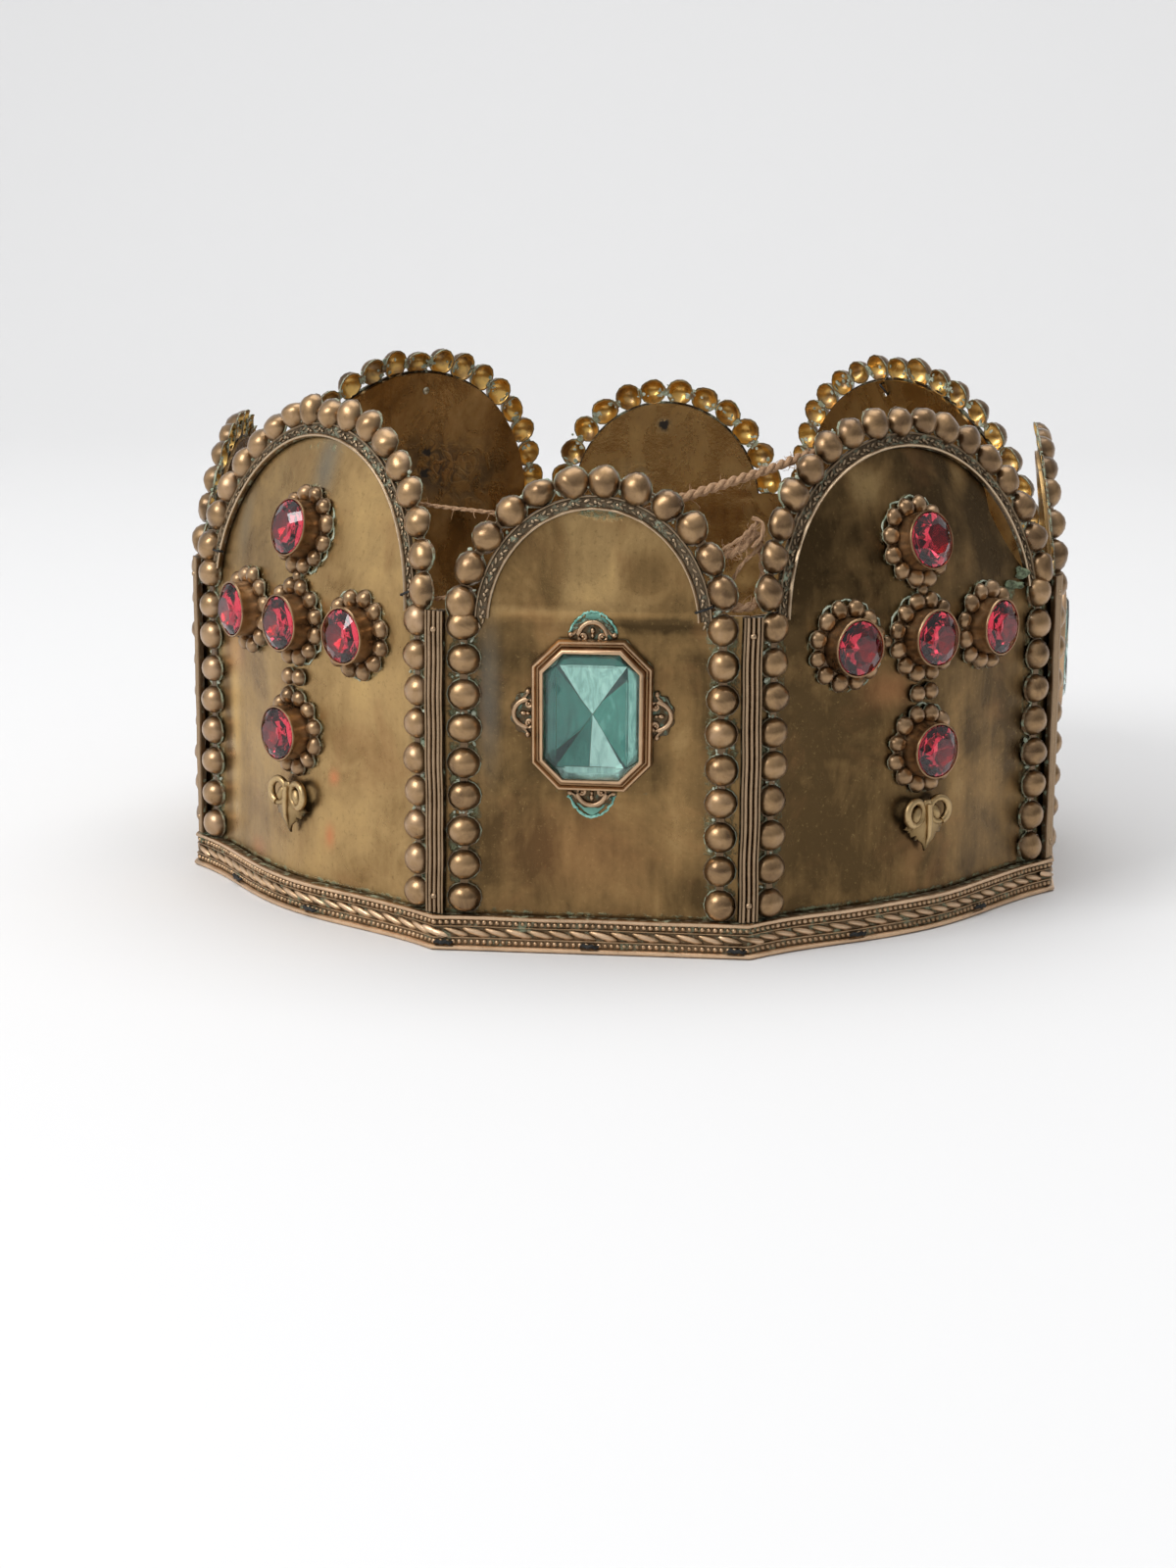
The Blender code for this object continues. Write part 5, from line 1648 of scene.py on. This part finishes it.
@dataclass
class BaseBorder:
    """The stamped moulding round the foot: a rope between two rows of tiny beads."""
    finishes: Finishes
    follow: Tree
    bead_pitch: float = 0.0015
    bead_radius: float = 0.00066
    bead_rows: tuple[float, float] = (0.0019, 0.00655)
    rope_height: float = 0.0042
    rope_pitch: float = 0.005
    steps: int = 24
    staples: tuple[tuple[str, tuple[float, ...]], ...] = (
        ("front_left", (-0.0261, 0.0093)), ("front", (-0.0345, -0.0002, 0.034)),
        ("front_right", (-0.0202, 0.0199)), ("right", (0.0, 0.033)), ("back_right", (-0.02, 0.02)),
        ("back", (-0.034, 0.0, 0.034)), ("back_left", (-0.02, 0.02)), ("left", (0.0,)))

    def path(self, out: float) -> Array:
        """The ring (n, 2) at the moulding's middle height, so far out of the sheets."""
        rows = []
        for panel in PANELS:
            count = self.steps if panel.is_wide else self.steps // 2
            half = panel.half + out * tan(TURN / 2)
            across = np.linspace(-half, half, count, endpoint=False)
            flat = np.column_stack((across, np.full(count, 0.004), np.full(count, out)))
            rows.append(panel.place(flat)[:, :2])
        return np.vstack(rows)

    def section(self) -> list[tuple[float, float]]:
        """The moulding's section, from its back foot round to its back top."""
        return [(0.0003, 0.0), (0.0028, 0.0), (0.0031, 0.0003), (0.0031, 0.0008), (0.0027, 0.0011),
                (0.0021, 0.0012), (0.0021, 0.0026), (0.0025, 0.0028), (0.0025, 0.003), (0.002, 0.0032),
                (0.0019, 0.0053), (0.0024, 0.0055), (0.0024, 0.0057), (0.002, 0.0059), (0.002, 0.0072),
                (0.0026, 0.0073), (0.0028, 0.0076), (0.0027, 0.0081), (0.0023, 0.0083), (0.0003, 0.0083)]

    def rope_lobe(self) -> Mesh:
        """One long slanted strand of the rope, standing on the moulding's face."""
        bm = bmesh.new()
        bm.from_mesh(bump((0, 0, 0), (0.0036, 0.00082, 0.00092), -0.25, 12))
        bm.from_mesh(bump((0.001, -0.0008, 0), (0.0017, 0.00034, 0.0006), -0.3, 8, 2))
        lobe = from_bmesh(bm)
        lobe.transform(Matrix.Rotation(pi / 2, 4, "X"))
        return lobe

    def staple(self, panel: Panel, across: float) -> Mesh:
        """A twist of dark wire that holds the moulding on."""
        rows = [(-0.0021, 0.0016, 0.0026), (-0.0014, 0.0022, 0.0032), (-0.0004, 0.0018, 0.0033),
                (0.0007, 0.0021, 0.0033), (0.0015, 0.0016, 0.0031), (0.0022, 0.0019, 0.0025)]
        flat = np.array([(across + x, up, out) for x, up, out in rows])
        return tube(panel.place(flat).tolist(), [0.0003, 0.0005, 0.00055, 0.0005, 0.00045, 0.0003], 6)

    def run(self, out: float, height: float, shape: Mesh, pitch: float, variation: float, seed: int) -> Mesh:
        """Copies of a shape round the ring, so far out and up and about a pitch apart."""
        line = self.path(out)
        length = steps_along(np.vstack((line, line[:1]))).sum()
        places = np.column_stack((line, np.full(len(line), height)))
        return self.follow.run(path_mesh(places, True), shape, self.finishes.border,
                               Count=round(length / pitch), Variation=variation, Seed=seed)

    def build(self) -> None:
        """Makes the moulding with its rows, and the staples."""
        piece = Piece("base_moulding", [self.finishes.border])
        piece.add(swept(self.path(0.0), self.section(), True))
        bead = dome(self.bead_radius, self.bead_radius * 0.95, 7, 2)
        bead.transform(Matrix.Rotation(pi / 2, 4, "X"))
        for height in self.bead_rows:
            piece.add(self.run(0.002, height, bead.copy(), self.bead_pitch, 0.1, 3))
        piece.add(self.run(0.0019, self.rope_height, self.rope_lobe(), self.rope_pitch, 0.07, 4))
        mesh = piece.finished("base_border", sharp=45).data
        self.store_relief(mesh)
        lift = np.clip(coordinates(mesh)[:, 2] / 0.002, 0, 1)
        wobble(mesh, 17, 0.00016, 0.02, np.outer(lift, (1.0, 1.0, 0.6)))
        wires = Piece("border_staples", [self.finishes.wire])
        for name, places_across in self.staples:
            wires.add(*(self.staple(BY_NAME[name], across) for across in places_across))
        wires.finished()

    def store_relief(self, mesh: Mesh) -> None:
        """Stores how far each point stands out of the sheets, as its flat z."""
        points = coordinates(mesh)
        angles = np.arctan2(points[:, 0], -points[:, 1])
        half_front = atan2(PANELS[0].half, PANELS[0].distance)
        flat = np.zeros_like(points)
        turned_by = np.mod(angles + half_front, 2 * pi)
        pair, within = np.divmod(turned_by, 2 * TURN)
        index = (2 * pair + (within > 2 * half_front)).astype(int) % len(PANELS)
        for panel in PANELS:
            mine = index == panel.index
            along, outward = panel.axes
            across = points[mine] @ along
            depth = points[mine] @ outward - panel.distance - panel.offset(across, points[mine][:, 2])
            flat[mine] = np.column_stack((across, points[mine][:, 2], depth))
        set_attribute(mesh, "flat", flat)


# Twine, ties and crusts

def smooth_path(knots: Array, step: float) -> Array:
    """Points read from a smooth curve through the knots (n, 4), about a step apart."""
    ends = np.vstack((2 * knots[0] - knots[1], knots, 2 * knots[-1] - knots[-2]))
    rows = []
    for a, b, c, d in zip(ends, ends[1:], ends[2:], ends[3:]):
        count = max(1, round(float(np.linalg.norm(c[:3] - b[:3])) / step))
        for t in np.arange(count) / count:
            rows.append((2 * b + (c - a) * t + (2 * a - 5 * b + 4 * c - d) * t ** 2
                         + (3 * b - a - 3 * c + d) * t ** 3) / 2)
    return np.vstack(rows + [knots[-1]])


@dataclass
class Twine:
    """Jute twine between the front arches, and a lashing at one corner."""
    finishes: Finishes
    radius: float = 0.0011
    thread: float = 0.45
    twist: float = 0.0052
    sides: int = 8

    def route(self, rows: Sequence[tuple[int, float, float, float, float]]) -> Array:
        """Knots (n, 4) of a route given by panel, across, up, out and thickness."""
        return np.array([(*PANELS[i].point(across, up, out), share) for i, across, up, out, share in rows])

    def span_route(self) -> Array:
        """From the front left arch, inside the front arch, to the front right arch."""
        thin = self.thread
        return self.route([
            (7, 0.0314, 0.1042, -0.0022, thin), (7, 0.036, 0.1026, -0.0026, thin),
            (0, -0.0243, 0.102, -0.0028, thin), (0, -0.0157, 0.101, -0.0028, thin),
            (0, -0.002, 0.101, -0.0029, thin), (0, 0.01, 0.1031, -0.003, thin),
            (0, 0.019, 0.106, -0.0032, 1.0), (1, -0.0381, 0.1119, -0.003, 1.0),
            (1, -0.0236, 0.1149, -0.0028, 1.0), (1, -0.0175, 0.1132, -0.0032, 1.0)])

    def lashing_route(self) -> Array:
        """Along the shoulders over a corner, up behind the first beads and across."""
        return self.route([
            (0, 0.0262, 0.0816, -0.0014, 1.0), (0, 0.032, 0.0816, -0.0014, 1.0),
            (1, -0.0488, 0.0818, -0.0018, 1.0), (1, -0.045, 0.0835, -0.0024, 1.0),
            (1, -0.0432, 0.0885, -0.0024, 1.0), (1, -0.043, 0.094, -0.0022, 1.0),
            (1, -0.0448, 0.0982, -0.0018, 1.0), (0, 0.0335, 0.0955, -0.002, 1.0),
            (0, 0.0294, 0.0932, -0.0024, 1.0), (0, 0.0262, 0.0925, -0.0028, 1.0)])

    def strands(self, path: Array) -> list[Mesh]:
        """Two strands twisted round each other along a path (n, 4)."""
        centre, share = path[:, :3], path[:, 3]
        along = unit(np.gradient(centre, axis=0))
        side = unit(np.cross(along, (0.0, 0.0, 1.0)))
        up = np.cross(side, along)
        run = np.concatenate(([0.0], np.cumsum(steps_along(centre))))
        meshes = []
        for phase in (0.0, pi):
            angle = 2 * pi * run / self.twist + phase
            reach = (self.radius * 0.48 * share)[:, None]
            line = centre + reach * (side * np.cos(angle)[:, None] + up * np.sin(angle)[:, None])
            thick = self.radius * 0.6 * share * (1 + 0.08 * np.sin(run * 4100 + phase))
            mesh = tube(line.tolist(), thick.tolist(), self.sides)
            points = coordinates(mesh)
            nearest = np.abs(points[:, None, :] - line[None, :, :]).sum(axis=2).argmin(axis=1)
            away = points - line[nearest]
            turn = np.arctan2((away * up[nearest]).sum(axis=1), (away * side[nearest]).sum(axis=1))
            strand = np.column_stack((np.cos(turn), np.sin(turn), run[nearest] / self.radius + phase))
            set_attribute(mesh, "strand", strand)
            meshes.append(mesh)
        return meshes

    def cord(self, name: str, knots: Array, node: str, hairs: Object) -> None:
        path = smooth_path(knots, 0.0005)
        piece = Piece(name, [self.finishes.jute])
        piece.add(*self.strands(path))
        made = piece.finished(node, sharp=80)

    def hairs(self, name: str, paths: Sequence[tuple[Array, int]], seed: int) -> Object:
        """Frayed fibres that stand off the twine, and the tuft of its knot."""
        rng = np.random.default_rng(seed)
        piece = Piece(name, [self.finishes.jute])
        for path, count in paths:
            for _ in range(count):
                start = path[rng.integers(0, len(path))][:3]
                lead = unit(rng.normal(0, 1, 3))
                bow = rng.normal(0, 0.0006, 3)
                long = rng.uniform(0.0015, 0.0045)
                route = [start + lead * long * t + bow * t * (1 - t) * 4 for t in (0, 0.35, 0.7, 1)]
                mesh = tube([tuple(spot) for spot in route], [0.0001, 0.00009, 0.00007, 0.00004], 4)
                set_attribute(mesh, "strand", coordinates(mesh) * 900)
                piece.add(mesh)
        return piece.finished(sharp=80)

    def legs(self) -> list[Array]:
        """The lashing's second, thinner leg, the wraps of its knot and the tuft's core."""
        thin = self.thread
        return [
            self.route([(0, 0.031, 0.0872, -0.003, thin), (0, 0.0335, 0.0915, -0.0022, thin),
                        (1, -0.0462, 0.0938, -0.0012, thin), (1, -0.0436, 0.0952, -0.0014, thin)]),
            self.route([(0, 0.029, 0.0946, -0.0014, thin), (0, 0.033, 0.0972, -0.0008, thin),
                        (1, -0.0468, 0.0992, -0.0006, thin), (1, -0.044, 0.1006, -0.0012, thin)]),
            self.route([(1, -0.0478, 0.095, 0.0002, thin), (1, -0.0452, 0.0972, 0.001, thin),
                        (1, -0.044, 0.1002, 0.0004, thin), (1, -0.0452, 0.1016, -0.0014, thin)]),
            self.route([(7, 0.0452, 0.0815, -0.0026, thin), (7, 0.0478, 0.0822, -0.0024, thin),
                        (0, -0.034, 0.0822, -0.0024, thin), (0, -0.0312, 0.0816, -0.0026, thin)])]

    def build(self) -> None:
        """Makes both twines, their extra legs and their frayed fibres."""
        span, lashing = self.span_route(), self.lashing_route()
        thick_end = smooth_path(span[5:], 0.0005)
        wraps = Piece("knot_wraps", [self.finishes.jute])
        for leg in self.legs():
            wraps.add(*self.strands(smooth_path(leg, 0.0005)))
        wraps.finished(sharp=80)
        knot = smooth_path(lashing[5:9], 0.0005)
        self.cord("twine", span, "twine_span",
                  self.hairs("twine_fibres", [(thick_end, 60), (smooth_path(span[:6], 0.0005), 26)], 5))
        self.cord("lashing", lashing, "twine_lashing",
                  self.hairs("lashing_fibres", [(knot, 90), (smooth_path(lashing[:4], 0.0005), 30)], 6))


@dataclass
class Repairs:
    """A wire loop, a rivet and lumps of crust."""
    finishes: Finishes

    def lump(self, centre: Array, size: tuple[float, float, float], seed: int) -> Mesh:
        """A rough scrap of crust."""
        rng = np.random.default_rng(seed)
        bm = bmesh.new()
        bmesh.ops.create_icosphere(bm, subdivisions=3, radius=1.0)
        mesh = from_bmesh(bm)
        points = coordinates(mesh)
        waves = rng.normal(0, 3.2, (10, 3))
        phases = rng.uniform(0, 6, 10)
        swell = 1 + 0.09 * np.sin(points @ waves.T + phases).sum(axis=1)
        set_coordinates(mesh, points * swell[:, None] * np.array(size) + centre)
        return mesh

    def ridges(self, panel: Panel, piece: Piece) -> None:
        """Low uneven ridges of crust round the scrolls of a setting or round the rosettes."""
        rng = np.random.default_rng(700 + panel.index)
        routes = []
        if panel.is_wide:
            for x, y in CROSS.values():
                start = rng.uniform(0, 6)
                turns = np.linspace(start, start + rng.uniform(2.0, 3.8), 34)
                lobes = 0.0104 + 0.0004 * np.cos(12 * turns)
                routes.append((x + lobes * np.cos(turns), y + lobes * np.sin(turns), 2, 0.00027))
        else:
            for way, base, high in ((1, 0.0738, 0.0062), (-1, 0.039, 0.0068)):
                turns = np.linspace(0.25, pi - 0.25, 34)
                routes.append((0.0057 * np.cos(turns), base + way * high * np.sin(turns) ** 1.3, 1, 0.00034))
        for across, up, finish, radius in routes:
            jitter = rng.normal(0, 0.00012, (2, len(across)))
            flat = np.column_stack((across + jitter[0], up + jitter[1], np.full(len(across), 0.00015)))
            thick = radius * rng.uniform(0.6, 1.15, len(across))
            thick[[0, -1]] *= 0.3
            piece.add(tube(panel.place(flat).tolist(), thick.tolist(), 6), finish=finish)

    def build(self) -> None:
        """Makes the small repairs and crusts."""
        metal = Piece("wire_loop_and_rivet", [self.finishes.wire, self.finishes.solder])
        turns = circle(16)
        loop = np.column_stack((0.0062 + 0.0016 * np.cos(turns), 0.1139 + 0.0019 * np.sin(turns),
                                -0.0004 + 0.0016 * np.cos(turns + 0.8)))
        metal.add(tube(BY_NAME["back_right"].place(loop).tolist(), 0.00028, 6, closed=True))
        rivet = dome(0.0011, 0.0007, 12, 3)
        flat = coordinates(rivet) * (1, 1, -1) + (-0.0036, 0.112, -0.0008)
        set_coordinates(rivet, BY_NAME["back_left"].place(flat))
        rivet.flip_normals()
        metal.add(rivet, finish=1)
        metal.finished()
        crusts = Piece("crust_scraps", [self.finishes.crust, self.finishes.turquoise, self.finishes.salt])
        for panel in PANELS:
            self.ridges(panel, crusts)
        left, right = BY_NAME["front_left"], BY_NAME["front_right"]
        spots = [(left, (-0.0495, 0.0105, 0.0006), (0.0016, 0.0014, 0.0022), 1),
                 (left, (-0.0492, 0.007, 0.0012), (0.0012, 0.0012, 0.0018), 2),
                 (right, (0.0335, 0.079, 0.0006), (0.003, 0.001, 0.0012), 3),
                 (right, (0.0372, 0.0812, 0.0004), (0.0018, 0.0008, 0.0014), 4)]
        for panel, place, size, seed in spots:
            crusts.add(self.lump(panel.point(*place), size, seed))
        crusts.finished(sharp=30)


# Studio

@dataclass(frozen=True)
class Studio:
    """Camera, plain floor and soft light."""
    eye: tuple[float, float, float] = (0.0697, -0.8079, 0.2004)
    heading: tuple[float, float] = (-0.1003, 0.995)
    pitch: float = radians(12.83)
    roll: float = radians(0.334)
    focal_pixels: float = 3203.0
    picture_height: float = 1600.0
    sensor: float = 36.0
    floor_half: float = 5.0
    wall_place: float = 0.9
    wall_bend: float = 0.8
    wall_height: float = 3.2

    def camera(self) -> None:
        """Makes the camera at the photo's angle."""
        data = bpy.data.cameras.new("camera")
        data.sensor_width = self.sensor
        data.sensor_fit = "AUTO"
        data.lens = self.focal_pixels * self.sensor / self.picture_height
        data.clip_start, data.clip_end = 0.01, 50.0
        made = new_object("camera", data)
        level = cos(self.pitch)
        look = Vector((self.heading[0] * level, self.heading[1] * level, -sin(self.pitch)))
        turn = look.to_track_quat("-Z", "Y").to_matrix().to_4x4()
        made.matrix_world = Matrix.Translation(self.eye) @ turn @ Matrix.Rotation(self.roll, 4, "Z")
        bpy.context.scene.camera = made

    def floor(self) -> None:
        """Makes the plain pale floor, which rises in a wide curve far behind."""
        curve = [(self.wall_place + self.wall_bend * sin(a), self.wall_bend * (1 - cos(a)))
                 for a in np.linspace(0, pi / 2, 17)]
        side = [(-self.floor_half, 0.0)] + curve + [(curve[-1][0], self.wall_height)]
        bm = bmesh.new()
        rows = [[bm.verts.new((x, y, z)) for x in (-self.floor_half, self.floor_half)] for y, z in side]
        for first, second in zip(rows, rows[1:]):
            bm.faces.new((first[0], first[1], second[1], second[0]))
        mesh = bpy.data.meshes.new("floor")
        bm.to_mesh(mesh)
        bm.free()
        mesh.polygons.foreach_set("use_smooth", [True] * len(mesh.polygons))
        g = Graph("floor")
        mesh.materials.append(g.surface(Base_Color=(0.75, 0.75, 0.75), Roughness=0.9))
        made = new_object("floor", mesh)
        made.location.z = -0.0002

    def lamp(self, name: str, place: Place, size: float, power: float) -> None:
        """A square soft light that faces the crown."""
        data = bpy.data.lights.new(name, "AREA")
        data.size = size
        data.energy = power
        made = new_object(name, data)
        made.location = place
        made.rotation_euler = (Vector((0, 0, 0.06)) - Vector(place)).to_track_quat("-Z", "Y").to_euler()

    def world(self) -> None:
        """Pale surroundings that darken to the front right."""
        g = Graph("studio", world=True)
        bpy.context.scene.world = g.owner
        around = g.put("ShaderNodeTexCoord").outputs["Generated"]
        away = g.put("ShaderNodeVectorMath", {0: around, 1: (-0.75, 0.25, 0.61)}, operation="DOT_PRODUCT")
        half = g.put("ShaderNodeMath", {0: away.outputs["Value"], 1: 0.5, 2: 0.5}, operation="MULTIPLY_ADD")
        sky = g.ramp(half.outputs[0], [(0.0, (0.1, 0.1, 0.105)), (0.8, (0.86, 0.86, 0.87))])
        back = g.put("ShaderNodeBackground", {0: sky})
        g.put("ShaderNodeOutputWorld", {0: back.outputs[0]})

    def build(self) -> None:
        """Sets up the studio."""
        self.camera()
        self.floor()
        self.world()
        self.lamp("key", (-1.0, -1.0, 1.25), 0.75, 15.0)
        self.lamp("top", (0.1, 0.3, 1.7), 1.4, 13.0)
        scene = bpy.context.scene
        scene.view_settings.view_transform = "Standard"


def main() -> None:
    """Builds the studio and the crown's pieces in order."""
    logging.basicConfig(level=logging.INFO, format="%(name)s %(message)s")
    Studio().build()
    finishes = Finishes()
    scatter, follow = make_scatter_tree(), make_path_tree()
    sections = [Twine(finishes), Sheets(finishes), BeadBorders(finishes, scatter), ArchBands(finishes, follow),
                Crosses(finishes, scatter), StoneSettings(finishes), Pilasters(finishes),
                BaseBorder(finishes, follow), Repairs(finishes)]
    for section in sections:
        LOG.info("building %s", type(section).__name__)
        section.build()


if __name__ == "__main__":
    main()
